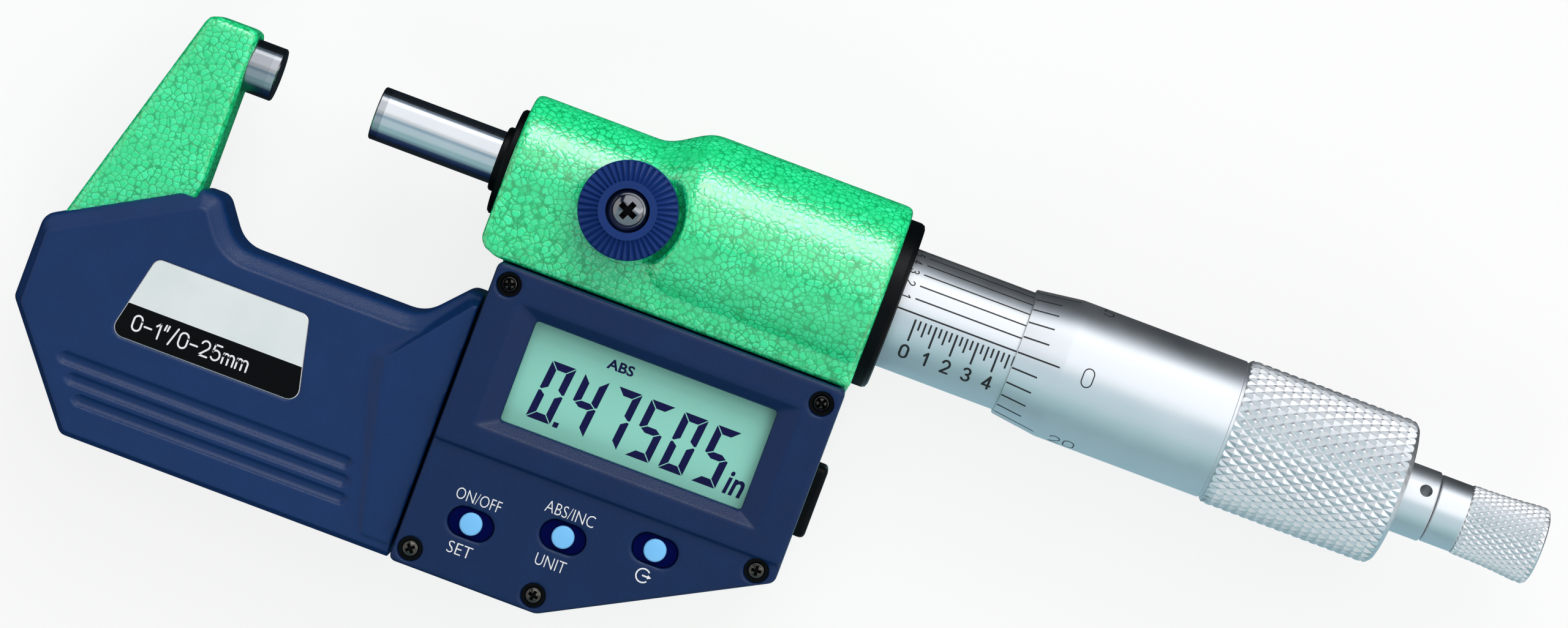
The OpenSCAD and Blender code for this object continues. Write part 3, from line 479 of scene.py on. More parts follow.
def plate_mesh(name, levels):
    """A plate from outlines of equal length at rising heights, with flat ends."""
    points, faces = [], []
    count = len(levels[0][0])
    for line, z in levels:
        points += [(x, y, z) for x, y in line]
    for level in range(len(levels) - 1):
        for i in range(count):
            a, b = level * count + i, level * count + (i + 1) % count
            faces.append((a, b, b + count, a + count))
    faces.append(tuple(reversed(range(count))))
    faces.append(tuple(range(len(points) - count, len(points))))
    return face_outward(plain_mesh(name, points, faces))


plate_corners = [(-5.3, -24.3, 1.1), (-7.6, -34.3, 1.3), (15.7, -34.3, 1.3), (13.4, -24.3, 1.1)]
plate_middle = Vector((4.05, -29.3))
plate_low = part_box("range_plate")[0].z / MM
plate_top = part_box("range_plate")[1].z / MM
plate_ease = 0.08
across_plate = (0, 0, math.radians(90))
plate_aluminium = turned_metal(
    "plate_aluminium", (236, 232, 227), (246, 243, 238), (0.45, 0.55), 3000.0, 0.003, across_plate
)
plate_line = rounded_outline(plate_corners)
plate_edge = rounded_outline(shrunk(plate_corners, plate_middle, plate_ease))
plate_levels = [(plate_line, plate_low), (plate_line, plate_top - plate_ease), (plate_edge, plate_top)]
plate = smooth_faces(plate_mesh("range_plate_body", plate_levels), 25)
add_piece("range_plate_body", plate, plate_aluminium, "frame_body", "plate_aluminium", "range_plate")

band_corners = [(-6.55, -30.2, 0.01), (-7.47, -34.2, 1.22), (15.57, -34.2, 1.22), (14.65, -30.2, 0.01)]
black_print = moulded("black_print", (4, 4, 6), (7, 7, 9), (0.40, 0.52), 4000.0, 0.003, 0.06)
band_line = rounded_outline(band_corners)
band = plate_mesh("range_band", [(band_line, plate_top - 0.02), (band_line, plate_top + 0.012)])
add_piece("range_band", band, black_print, "frame_body", "plate_aluminium")


def arc(middle_x, middle_y, radius_x, radius_y, start, end, steps=12):
    """Points on part of an ellipse, between two angles in degrees."""
    made = []
    for k in range(steps + 1):
        turn = math.radians(start + (end - start) * k / steps)
        made.append((middle_x + radius_x * math.cos(turn), middle_y + radius_y * math.sin(turn)))
    return made


round_top = arc(0.30, 0.70, 0.30, 0.30, 0, 180)
round_foot = arc(0.30, 0.30, 0.30, 0.30, 180, 360)
m_left = arc(0.19, 0.46, 0.19, 0.22, 180, 0)
m_right = arc(0.57, 0.46, 0.19, 0.22, 180, 0)
strokes = {
    "0": (0.60, [round_top + round_foot + [(0.60, 0.70)]]),
    "1": (0.36, [[(0.06, 0.76), (0.32, 1.0), (0.32, 0.0)]]),
    "2": (0.60, [arc(0.30, 0.71, 0.29, 0.29, 165, -38) + [(0.0, 0.0), (0.60, 0.0)]]),
    "3": (0.60, [arc(0.29, 0.76, 0.27, 0.24, 155, -90), arc(0.29, 0.26, 0.30, 0.26, 90, -155)]),
    "4": (0.64, [[(0.47, 0.0), (0.47, 1.0), (0.0, 0.27), (0.64, 0.27)]]),
    "5": (0.60, [[(0.56, 1.0), (0.10, 1.0), (0.05, 0.52)], arc(0.28, 0.33, 0.31, 0.33, 138, -145)]),
    "6": (0.60, [arc(0.30, 0.31, 0.30, 0.31, 0, 360), [(0.48, 1.0), (0.04, 0.45)]]),
    "7": (0.60, [[(0.0, 1.0), (0.60, 1.0), (0.20, 0.0)]]),
    "8": (0.60, [arc(0.30, 0.755, 0.25, 0.245, 0, 360), arc(0.30, 0.255, 0.30, 0.255, 0, 360)]),
    "9": (0.60, [arc(0.30, 0.69, 0.30, 0.31, 0, 360), [(0.56, 0.55), (0.12, 0.0)]]),
    "-": (0.50, [[(0.0, 0.45), (0.50, 0.45)]]),
    '"': (0.30, [[(0.10, 1.04), (0.04, 0.70)], [(0.30, 1.04), (0.24, 0.70)]]),
    "/": (0.40, [[(0.0, -0.08), (0.40, 1.08)]]),
    "m": (0.76, [[(0.0, 0.0), (0.0, 0.66)], m_left + [(0.38, 0.0)], m_right + [(0.76, 0.0)]]),
}


def straight_runs(path, step):
    """Splits a path at its sharp corners, and its long straight parts into short ones."""
    runs = [[path[0]]]
    for i, (start, end) in enumerate(zip(path, path[1:])):
        count = max(1, math.ceil((end - start).length / step))
        runs[-1] += [start.lerp(end, k / count) for k in range(1, count + 1)]
        if i + 2 < len(path) and (end - start).angle(path[i + 2] - end) > math.radians(40):
            runs.append([end])
    return runs


def stroke_mesh(name, words, middle, height, weight, place, stretch=1.0):
    """Lettering cut with one round tool: centred on a flat point, and set on a surface by place."""
    space = 0.24
    cap_turns = [Matrix.Rotation(math.radians(t), 2) for t in (-60, -30, 0, 30, 60)]
    pen = -(sum(strokes[c][0] for c in words) + space * (len(words) - 1)) / 2
    spots, faces = [], []
    for letter in words:
        wide, lines = strokes[letter]
        for line in lines:
            flat = [Vector(((pen + x) * stretch, y - 0.5)) * height + Vector(middle) for x, y in line]
            for run in straight_runs(flat, 0.3):
                first = len(spots)
                for i, spot in enumerate(run):
                    along = (run[min(i + 1, len(run) - 1)] - run[max(i - 1, 0)]).normalized()
                    side = Vector((-along.y, along.x)) * weight / 2
                    spots += [spot + side, spot - side]
                last = len(spots) - 2
                faces += [(k, k + 1, k + 3, k + 2) for k in range(first, last, 2)]
                for spot, inner, left, right in (
                    (run[0], run[1], first, first + 1),
                    (run[-1], run[-2], last + 1, last),
                ):
                    along = (spot - inner).normalized() * weight / 2
                    faces.append((left, *range(len(spots), len(spots) + len(cap_turns)), right))
                    spots += [spot + turn @ along for turn in cap_turns]
        pen += wide + space
    return plain_mesh(name, [place(p.x, p.y) for p in spots], faces)


def on_plate(x, y):
    """The point just above the plate's print."""
    return (x, y, plate_top + 0.022)


white_print = moulded("white_print", (226, 228, 230), (240, 241, 242), (0.45, 0.60), 4000.0, 0.003)
range_text = stroke_mesh("range_text", "0-1\"/0-25mm", (1.72, -32.12), 1.78, 0.21, on_plate, 0.94)
add_piece("range_text", range_text, white_print, "frame_body", "plate_aluminium")

# The spindle's way in: a hardened bush pressed into the housing, a rubber wiper that keeps
# coolant out, and a black moulded cap that holds the wiper.
ground_steel = turned_metal("ground_steel", (194, 197, 200), (208, 210, 212), (0.14, 0.20))
seal_rubber = moulded("seal_rubber", (16, 16, 18), (24, 24, 26), (0.6, 0.8), 3000.0, 0.02, 0.12)
black_plastic = moulded("black_plastic", (3, 5, 6), (6, 9, 11), (0.30, 0.42), 4500.0, 0.006, 0.08)
dress(ground_steel, "spindle_bush")
dress(seal_rubber, "wiper_seal")
dress(black_plastic, "seal_cap")

# The spindle lock: a ribbed blue knob, screwed to a threaded stem that presses a brass shoe
# on the spindle. A polished cross-head screw holds the knob on the stem.
knob_plastic = moulded("knob_plastic", (16, 44, 102), (22, 53, 118), (0.28, 0.40), 3500.0, 0.006, 0.18)
brass = turned_metal("brass", (176, 140, 72), (214, 178, 104), (0.22, 0.34))
dark_steel = turned_metal("dark_steel", (98, 100, 106), (132, 134, 138), (0.16, 0.26), 5000.0, 0.003)
dress(brass, "lock_shoe")
dress(dark_steel, "lock_stem")
dress(knob_plastic, "lock_knob")


def turned_mesh(name, profile, axis="X", steps=96):
    """A body of revolution from a closed (along, radius) outline in millimetres."""
    points, faces, rows = [], [], []
    for along, radius in profile:
        if radius < 1e-6:
            rows.append([len(points)] * steps)
            points.append((along, 0, 0))
            continue
        rows.append(list(range(len(points), len(points) + steps)))
        for k in range(steps):
            turn = 2 * math.pi * k / steps
            points.append((along, radius * math.cos(turn), radius * math.sin(turn)))
    pairs = list(zip(rows, rows[1:]))
    if profile[0][1] > 1e-6:
        pairs.append((rows[-1], rows[0]))
    for near, far in pairs:
        for k in range(steps):
            after = (k + 1) % steps
            corners = [near[k], near[after], far[after], far[k]]
            face = [c for i, c in enumerate(corners) if c not in corners[:i]]
            if len(face) > 2:
                faces.append(face)
    if axis == "Z":
        points = [(y, z, x) for x, y, z in points]
    return face_outward(plain_mesh(name, points, faces))


def rounded_rim(low_z, radius, ease, steps):
    """The outline of a rounded rim, from its side up to its top."""
    made = []
    for k in range(steps + 1):
        turn = math.radians(90 * k / steps)
        made.append((low_z + ease * math.sin(turn), radius - ease * (1 - math.cos(turn))))
    return made


def cross_screw(name, head_r, seat_z, top_z, edge, crown, cross, twist, foot_z, shank_r):
    """A cross-head screw standing along Z on the origin; cross gives its arms' length, width and depth."""
    crown_steps = 12
    profile = [(foot_z, 0), (foot_z, shank_r), (seat_z, shank_r), (seat_z, head_r)]
    profile += rounded_rim(top_z - crown - edge, head_r, edge, 6)
    for k in range(1, crown_steps + 1):
        share = 1 - k / crown_steps
        profile.append((top_z - crown * share**2, (head_r - edge) * share))
    head = stand(name, turned_mesh(name, profile, "Z", 48))
    length, width, depth = cross
    ends = ((top_z - depth, 0.5, 0.7), (top_z + 0.3, 1.0, 1.0))
    sides = [(0, 1, 2, 3), (4, 5, 6, 7), (0, 1, 5, 4), (1, 2, 6, 5), (2, 3, 7, 6), (3, 0, 4, 7)]
    cutters = []
    for degrees in (twist, twist + 90):
        spin = Matrix.Rotation(math.radians(degrees), 3, "Z")
        points = []
        for z, long_share, wide_share in ends:
            for x, y in ((-1, -1), (1, -1), (1, 1), (-1, 1)):
                points.append(spin @ Vector((x * length / 2 * long_share, y * width / 2 * wide_share, z)))
        cutter = stand(name + "_arm", face_outward(plain_mesh(name + "_arm", points, sides)))
        cutters.append(cutter)
        cut = head.modifiers.new("arm", "BOOLEAN")
        cut.operation = "DIFFERENCE"
        cut.solver = "EXACT"
        cut.object = cutter
    mesh = evaluated_mesh(head)
    for cutter in cutters:
        bpy.data.objects.remove(cutter)
    return smooth_faces(mesh, 30)


def blacken_recess(mesh, places, reach, below):
    """Paints the faces in a screw's cross black, a painted shade for the deep recess; sizes in millimetres.
    """
    mesh.materials.append(painted_shade_black)
    for face in mesh.polygons:
        middle = face.center / MM
        inside = min(math.hypot(middle.x - x, middle.y - y) for x, y in places) < reach
        face.material_index = int(inside and middle.z < below)


lock_low, lock_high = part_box("lock_screw")
lock_top = lock_high.z / MM
lock_cross = (2.6, 0.74, 1.35)
lock_screw = cross_screw(
    "lock_screw_body", 2.44, lock_top - 1.5, lock_top, 0.5, 0.42, lock_cross, 65.6, lock_low.z / MM, 1.0
)
lock_middle = (lock_low + lock_high) / 2
lock_screw.transform(Matrix.Translation((lock_middle.x, lock_middle.y, 0)))
screw_steel = turned_metal("screw_steel", (112, 114, 118), (132, 134, 138), (0.09, 0.15), 3000.0, 0.001)
add_piece("lock_screw_body", lock_screw, screw_steel, "lock", "dark_steel", "lock_screw")
# The faces in the screw's cross are painted black, a painted shade for the recess.
blacken_recess(lock_screw, [(lock_middle.x / MM, lock_middle.y / MM)], 1.4, lock_top - 0.3)

# The encoder in the housing: a brass hub keyed to the spindle carries a patterned rotor disc
# past a fixed stator board, whose flat cable runs down to the display.
board = moulded("board", (18, 84, 46), (30, 112, 62), (0.25, 0.45), 900.0, 0.01)
dress(brass, "rotor_hub", "sensor_cable")
dress(dark_steel, "rotor_key")
dress(board, "rotor_disc", "stator")

# The inner sleeve with the split nut for the measuring screw, its adjusting nut,
# and the black moulded ring that covers the joint behind the housing.
dress(ground_steel, "inner_sleeve")
dress(dark_steel, "adjusting_nut")
dress(black_plastic, "sleeve_ring")

# The graduated sleeve: a satin chromed tube on the inner sleeve. The lines and numbers are
# engraved and filled with black: an inch scale below the index line and a vernier above it.
satin_chrome = turned_metal("satin_chrome", (214, 217, 219), (225, 227, 229), (0.37, 0.45), 9000.0, 0.0025)
dress(satin_chrome, "sleeve")
engraving = moulded("engraving", (8, 8, 10), (16, 16, 20), (0.5, 0.65), 4000.0, 0.002)


def start_tree(name, inputs):
    """Starts a Geometry Nodes tree: gives the tree, its inputs and the inputs' identifiers."""
    tree = bpy.data.node_groups.new(name, "GeometryNodeTree")
    tree.is_modifier = True
    keys = {}
    for label, kind in inputs.items():
        socket = tree.interface.new_socket(label, in_out="INPUT", socket_type="NodeSocket" + kind)
        keys[label] = socket.identifier
    tree.interface.new_socket("Geometry", in_out="OUTPUT", socket_type="NodeSocketGeometry")
    return tree, tree.nodes.new("NodeGroupInput").outputs, keys


def end_tree(tree, given, points, angles):
    """Ends a tree: its item stands on every point, turned by the angles, made real and coated."""
    rotation = add_node(tree, "FunctionNodeEulerToRotation", {0: angles.outputs[0]})
    item = add_node(tree, "GeometryNodeObjectInfo", {"Object": given["Item"]})
    stood = {"Points": points, "Instance": item.outputs["Geometry"], "Rotation": rotation.outputs[0]}
    copies = add_node(tree, "GeometryNodeInstanceOnPoints", stood)
    real = add_node(tree, "GeometryNodeRealizeInstances", {"Geometry": copies.outputs[0]})
    coat = {"Geometry": real.outputs[0], "Material": given["Finish"]}
    coated = add_node(tree, "GeometryNodeSetMaterial", coat)
    add_node(tree, "NodeGroupOutput", {0: coated.outputs[0]})


def grown_mesh(name, tree, keys, base, item_mesh, values):
    """The plain mesh that a tree makes on a base mesh, with an item and other values."""
    single = stand(name + "_one", item_mesh)
    holder = stand(name, base)
    tool = holder.modifiers.new("repeat", "NODES")
    tool.node_group = tree
    tool[keys["Item"]] = single
    for label, value in values.items():
        tool[keys[label]] = value
    mesh = evaluated_mesh(holder)
    bpy.data.objects.remove(single)
    return mesh


repeat_inputs = {
    "Item": "Object",
    "Columns": "Int",
    "Column Turn": "Float",
    "Rows": "Int",
    "Row Shift": "Float",
    "Row Turn": "Float",
    "Finish": "Material",
}
repeat_tree, given, repeat_keys = start_tree("repeat_round_axis", repeat_inputs)
number = add_node(repeat_tree, "GeometryNodeInputIndex").outputs[0]
total = math_node(repeat_tree, "MULTIPLY", given["Columns"], given["Rows"])
column = math_node(repeat_tree, "MODULO", number, given["Columns"])
row = math_node(repeat_tree, "FLOOR", math_node(repeat_tree, "DIVIDE", number, given["Columns"]))
shift = math_node(repeat_tree, "MULTIPLY", row, given["Row Shift"])
row_turn = math_node(repeat_tree, "MULTIPLY", row, given["Row Turn"])
turn = math_node(repeat_tree, "MULTIPLY_ADD", column, given["Column Turn"], row_turn)
spot = add_node(repeat_tree, "ShaderNodeCombineXYZ", {"X": shift})
angles = add_node(repeat_tree, "ShaderNodeCombineXYZ", {"X": turn})
spots = add_node(repeat_tree, "GeometryNodePoints", {"Count": total, "Position": spot.outputs[0]})
end_tree(repeat_tree, given, spots.outputs[0], angles)


def repeated(name, item_mesh, finish, columns=1, column_turn=0.0, rows=1, row_shift=0.0, row_turn=0.0):
    """Repeats a small mesh round and along the spindle axis: turns in degrees, shifts in millimetres."""
    values = {
        "Columns": columns,
        "Column Turn": math.radians(column_turn),
        "Rows": rows,
        "Row Shift": row_shift * MM,
        "Row Turn": math.radians(row_turn),
        "Finish": finish,
    }
    return grown_mesh(name, repeat_tree, repeat_keys, bpy.data.meshes.new(name), item_mesh, values)


def joined(name, meshes):
    """One mesh from several."""
    shape = bmesh.new()
    for mesh in meshes:
        shape.from_mesh(mesh)
    made = bpy.data.meshes.new(name)
    shape.to_mesh(made)
    shape.free()
    return made


sleeve_r = 7.2
ink = 0.012
ink_r = sleeve_r + ink
zero_x = 78.6
division = 0.635
sleeve_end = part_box("sleeve")[1].x / MM
ring_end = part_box("sleeve_ring")[1].x / MM


def on_round(x, y, radius):
    """The point on a cylinder round the spindle axis, y being the distance round from the front."""
    return (x, radius * math.sin(y / radius), radius * math.cos(y / radius))


def strip_mesh(name, points):
    """A strip between two lines, from points that take turns on them."""
    faces = [(k, k + 1, k + 3, k + 2) for k in range(0, len(points) - 2, 2)]
    return plain_mesh(name, points, faces)


def arc_mark(name, x, width, low, high, radius):
    """A line across the axis, from low to high round the cylinder."""
    steps = 8
    points = []
    for k in range(steps + 1):
        y = low + (high - low) * k / steps
        points += [on_round(x - width / 2, y, radius), on_round(x + width / 2, y, radius)]
    return strip_mesh(name, points)


def long_mark(name, start, end, width, start_r, end_r):
    """A line along the axis at the front, on a cylinder or a cone."""
    points = [
        on_round(start, -width / 2, start_r),
        on_round(end, -width / 2, end_r),
        on_round(end, width / 2, end_r),
        on_round(start, width / 2, start_r),
    ]
    return plain_mesh(name, points, one_face)


def turned_round(mesh, degrees):
    """Turns a mesh round the spindle axis."""
    mesh.transform(Matrix.Rotation(math.radians(degrees), 4, "X"))
    return mesh


marks = []
for label, first, step, count, foot, width in (
    ("numbered", 0, 4, 11, -3.35, 0.24),
    ("half", 2, 4, 10, -2.35, 0.22),
    ("quarter", 1, 2, 20, -1.75, 0.22),
):
    one = arc_mark(label, zero_x + first * division, width, foot, -0.6, ink_r)
    marks.append(repeated("sleeve_" + label, one, engraving, rows=count, row_shift=step * division))
index_turn, vernier_turn = -2.6, -12.96
marks.append(long_mark("index", ring_end + 0.02, sleeve_end - 0.2, 0.20, ink_r, ink_r))
vernier_line = long_mark("vernier", zero_x - 0.9, sleeve_end - 0.2, 0.18, ink_r, ink_r)
vernier = repeated("vernier_lines", vernier_line, engraving, 10, vernier_turn)
marks.append(turned_round(vernier, vernier_turn))
sleeve_lines = turned_round(joined("sleeve_lines", marks), index_turn)
add_piece("sleeve_lines", sleeve_lines, engraving, "frame_body", "satin_chrome")


def on_sleeve(x, y):
    """The point on the sleeve for figures that stand along the axis."""
    return on_round(x, y, ink_r)


def round_sleeve(x, y):
    """The point on the sleeve for figures that stand across the axis."""
    return on_round(y, -x, ink_r)


numbers = []
for i in range(11):
    x = zero_x + 4 * i * division
    numbers.append(stroke_mesh(f"inch_{i}", str(i), (x, -4.9), 1.82, 0.28, on_sleeve, 0.79))
for i in range(1, 11):
    digit = stroke_mesh(f"vernier_{i}", str(i % 10), (0.0, zero_x - 2.0), 1.02, 0.14, round_sleeve, 0.85)
    numbers.append(turned_round(digit, vernier_turn * i))
sleeve_numbers = turned_round(joined("sleeve_numbers", numbers), index_turn)
add_piece("sleeve_numbers", sleeve_numbers, engraving, "frame_body", "satin_chrome")

# The spindle: a hardened steel pin, ground to size, with the measuring screw on its rear part
# and a carbide tip brazed to its measuring face.
dress(ground_steel, "spindle")
dress(carbide, "spindle_tip")

# The thimble: a satin chromed barrel clamped on the spindle's rear end. Its front cone carries
# 25 engraved divisions, and its rear part is rolled with a diamond knurl.
edge_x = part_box("thimble")[0].x / MM
back_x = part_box("thimble")[1].x / MM
edge_r, cone_r, cone_end = 7.58, 8.35, edge_x + 5.6
grip_x, grip_r, knurl_floor = edge_x + 25.7, 8.75, 8.44
bore_r, bore_end = 7.28, back_x - 13.8
stop_r, stop_x = 4.525, back_x - 6.7
clamp_r = 3.02
barrel_profile = [
    (edge_x, bore_r),
    (edge_x, edge_r - 0.08),
    (edge_x + 0.08, edge_r + 0.01),
    (cone_end - 0.15, cone_r - 0.015),
    (cone_end + 0.15, cone_r),
    (grip_x - 0.1, cone_r),
    (grip_x, cone_r - 0.1),
    (grip_x + 0.35, cone_r - 0.1),
    (grip_x + 0.4, knurl_floor),
    (back_x - 1.3, knurl_floor),
    (back_x - 0.9, grip_r - 0.31),
    (back_x - 0.35, grip_r - 0.7),
    (back_x - 0.12, grip_r - 1.3),
    (back_x, grip_r - 1.9),
    (back_x, stop_r),
    (stop_x, stop_r),
    (stop_x, clamp_r),
    (bore_end, clamp_r),
    (bore_end, bore_r),
]
barrel = smooth_faces(turned_mesh("thimble_barrel", barrel_profile, steps=160), 28)
add_piece("thimble_barrel", barrel, satin_chrome, "spindle_body", "satin_chrome", "thimble")


def knurl_mesh(name, columns, length, floor_r, top_r, start, end, finish, flat=0.22):
    """A band of rolled diamonds: a pyramid with a flat top, in rows that stand between each other."""
    half_turn = math.pi / columns
    base = [(-length / 2, 0), (0, -half_turn), (length / 2, 0), (0, half_turn)]
    points = []
    for scale, radius in ((1, floor_r), (flat, top_r)):
        for x, angle in base:
            points.append((x * scale, radius * math.sin(angle * scale), radius * math.cos(angle * scale)))
    faces = [(4, 5, 6, 7)] + [(i, (i + 1) % 4, 4 + (i + 1) % 4, 4 + i) for i in range(4)]
    diamond = plain_mesh(name + "_diamond", points, faces)
    rows = int((end - start) / (length / 2)) + 2
    band = repeated(name, diamond, finish, columns, 360 / columns, rows, length / 2, 180 / columns)

    def trim(shape):
        bmesh.ops.translate(shape, verts=shape.verts, vec=(start * MM, 0, 0))
        bmesh.ops.remove_doubles(shape, verts=shape.verts, dist=2e-6)
        for cut_x, side in ((start, -1), (end, 1)):
            parts = shape.verts[:] + shape.edges[:] + shape.faces[:]
            bmesh.ops.bisect_plane(
                shape, geom=parts, plane_co=(cut_x * MM, 0, 0), plane_no=(side, 0, 0), clear_outer=True
            )
        bmesh.ops.recalc_face_normals(shape, faces=shape.faces)

    return reworked(band, trim)


def reshape_rings(mesh, new_radius):
    """Moves each point of a band in or out: new_radius takes its place along the axis and its radius."""
    for v in mesh.vertices:
        radius = math.hypot(v.co.y, v.co.z)
        scale = new_radius(v.co.x / MM, radius / MM) * MM / radius
        v.co.y *= scale
        v.co.z *= scale


def thimble_knurl_radius(x, radius):
    """Eases the thimble's knurl at its front edge and towards its back."""
    front = grip_r - 0.30 + max(0.0, x - grip_x - 0.35)
    back = grip_r - 0.75 * max(0.0, x - (back_x - 1.25)) ** 2
    return min(radius, front, back)


knurl = knurl_mesh(
    "thimble_knurl", 44, 2.15, knurl_floor + 0.01, grip_r, grip_x + 0.36, back_x - 0.3, satin_chrome
)
reshape_rings(knurl, thimble_knurl_radius)
smooth_faces(knurl, 12)
add_piece("thimble_knurl", knurl, satin_chrome, "spindle_body", "satin_chrome")

slope = (cone_r - edge_r) / (cone_end - edge_x)


def cone_mark(name, start, end):
    """A line along the thimble's cone, between two distances from its edge."""
    start_r, end_r = edge_r + start * slope + ink, edge_r + end * slope + ink
    return long_mark(name, edge_x + start, edge_x + end, 0.20, start_r, end_r)


def on_barrel(x, y):
    """The point on the thimble's barrel."""
    return on_round(x, y, cone_r + ink)


thimble_marks = [
    repeated("thimble_divisions", cone_mark("division", 0.12, 3.2), engraving, 25, 14.4),
    repeated("thimble_fifths", cone_mark("fifth", 3.2, 5.2), engraving, 5, 72.0),
]
number_x = 99.28
for i in range(5):
    digits = stroke_mesh(f"thimble_{i}", str(5 * i), (number_x, 0.0), 2.2, 0.14, on_barrel, 0.94)
    thimble_marks.append(turned_round(digits, -72.0 * i))
thimble_print = turned_round(joined("thimble_marks", thimble_marks), index_turn)
add_piece("thimble_marks", thimble_print, engraving, "spindle_body", "satin_chrome")

# The ratchet: a fixed ring with a spanner hole, a knob with a plain neck and a fine diamond
# knurl that flares to its end, and inside it a toothed clutch, a spring and a screw.
dress(satin_chrome, "ratchet_stop")
dress(dark_steel, "ratchet_clutch", "ratchet_spring", "ratchet_screw")
neck_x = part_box("ratchet_knob")[0].x / MM
knob_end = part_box("ratchet_knob")[1].x / MM
neck_r, waist_r, flare_r = 4.05, 4.20, 4.62
grasp_x = neck_x + 3.75
fine_depth = 0.21
clutch_r, clutch_end = 3.25, neck_x + 3.2
spring_r, spring_end = 2.7, knob_end - 4.2
screw_r, recess_x, recess_r = 1.64, knob_end - 2.6, 3.0


def flare(x):
    """The knob's outer radius along its knurled part."""
    share = min(1.0, max(0.0, (x - grasp_x - 0.2) / 7.6))
    return waist_r + (flare_r - waist_r) * share**2


knob_profile = [
    (neck_x, clutch_r),
    (neck_x, neck_r - 0.15),
    (neck_x + 0.15, neck_r),
    (grasp_x - 0.1, neck_r),
    (grasp_x, neck_r - 0.06),
]
flare_steps = 12
for k in range(flare_steps + 1):
    x = grasp_x + 0.05 + (knob_end - 0.8 - grasp_x) * k / flare_steps
    knob_profile.append((x, flare(x) - fine_depth - 0.01))
knob_profile += [
    (knob_end - 0.35, flare_r - 0.23),
    (knob_end - 0.15, flare_r - 0.42),
    (knob_end, flare_r - 0.75),
    (knob_end, recess_r),
    (recess_x, recess_r),
    (recess_x, screw_r),
    (spring_end, screw_r),
    (spring_end, spring_r),
    (clutch_end, spring_r),
    (clutch_end, clutch_r),
]
knob = smooth_faces(turned_mesh("ratchet_knob_body", knob_profile, steps=120), 28)
add_piece("ratchet_knob_body", knob, satin_chrome, "ratchet", "satin_chrome", "ratchet_knob")


def knob_knurl_radius(x, radius):
    """Lays the fine knurl along the knob's flare and eases it at both ends."""
    shifted = flare(x) - waist_r + radius
    front = neck_r + 0.02 + max(0.0, x - grasp_x - 0.05)
    back = flare_r - 0.4 * max(0.0, (x - (knob_end - 0.6)) / 0.5) ** 2
    return min(shifted, front, back)


fine_start, fine_end = grasp_x + 0.05, knob_end - 0.2
fine_knurl = knurl_mesh(
    "ratchet_knurl", 34, 1.45, waist_r - fine_depth, waist_r, fine_start, fine_end, satin_chrome, 0.28
)
reshape_rings(fine_knurl, knob_knurl_radius)
smooth_faces(fine_knurl, 12)
add_piece("ratchet_knurl", fine_knurl, satin_chrome, "ratchet", "satin_chrome")

# The battery bay: a coin cell on a brass contact, closed from the back by a slotted cap with
# a rubber seal, and the data port with its rubber-tight plug in the right side.
round_cell = (0, math.radians(90), 0)
cell_steel = turned_metal(
    "cell_steel", (170, 170, 168), (206, 206, 204), (0.2, 0.3), 4000.0, 0.003, round_cell
)
dress(cell_steel, "battery")
dress(brass, "battery_contact")
dress(seal_rubber, "cap_seal")
dress(black_plastic, "battery_cap", "port_plug", "port_socket")

# The display: a reflective liquid crystal panel on the circuit board, held by rubber
# connector strips behind a clear window. Its dark figures stand in the panel's glass.
lcd_finish, tree, shader = new_finish("lcd", Roughness=0.45, Specular_IOR_Level=0.2)
place = object_place(tree)
speckle = noise(tree, place, 5000.0, 1.0)[0]
haze = noise(tree, place, 90.0, 2.0)[0]
clouding = math_node(tree, "MULTIPLY_ADD", speckle, 0.35, haze)
glass_tone = blend_colours(tree, clouding, srgb(138, 211, 192), srgb(153, 224, 206))
tree.links.new(glass_tone, shader.inputs["Base Color"])
dress(lcd_finish, "lcd_panel")
dress(board, "circuit_board")
dress(dark_steel, "key_switches")
dress(seal_rubber, "lcd_connectors")

window_finish, tree, shader = new_finish("window", Base_Color=(0.02, 0.025, 0.025, 1), Alpha=0.04)
wiped = noise(tree, object_place(tree), 140.0, 2.0)[0]
gloss = ranged(tree, wiped, 0.0, 1.0, 0.05, 0.12)
tree.links.new(gloss, shader.inputs["Roughness"])
dress(window_finish, "display_window")

lcd_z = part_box("lcd_panel")[1].z / MM + 0.02
face_corners = level_corners(37.4, -28.5, 68.2, -14.8, lcd_z - 0.01)
lcd_face = plain_mesh("lcd_face", face_corners, one_face)
add_piece("lcd_face", lcd_face, lcd_finish, "frame_body", "lcd")

digit_w, digit_h, bar_w, gap, lean_x = 2.95, 7.05, 0.87, 0.08, 0.106
digit_x, digit_y, digit_step, digit_drop = 41.36, -26.36, 4.06, -0.05
middle_y = digit_h / 2
inner_y = digit_h - bar_w
tip, half_w = bar_w * 0.28, bar_w * 0.46
top_bar = [
    (gap, digit_h),
    (digit_w - gap, digit_h),
    (digit_w - bar_w - gap, inner_y),
    (bar_w + gap, inner_y),
]
post_bar = [
    (0, digit_h - gap),
    (bar_w, inner_y - gap),
    (bar_w, middle_y + bar_w / 2 + gap),
    (tip, middle_y + gap),
    (0, middle_y + 2 * gap),
]
half_bar = [(tip + gap, middle_y), (bar_w + gap, middle_y + half_w), (digit_w / 2, middle_y + half_w)]


def mirrored(outline, across, up):
    """A bar of a figure, mirrored in the figure's box from side to side or from top to bottom."""
    return [(digit_w - x if across else x, digit_h - y if up else y) for x, y in outline]


centre_bar = half_bar + mirrored(half_bar, True, False)[::-1][1:]
centre_bar += mirrored(half_bar, True, True)[1:] + mirrored(half_bar, False, True)[::-1][1:-1]
bars = {
    "a": top_bar,
    "b": mirrored(post_bar, True, False),
    "c": mirrored(post_bar, True, True),
    "d": mirrored(top_bar, False, True),
    "e": mirrored(post_bar, False, True),
    "f": post_bar,
    "g": centre_bar,
}
figures = {"0": "abcdef", "4": "bcfg", "5": "acdfg", "7": "abc"}
points, faces = [], []


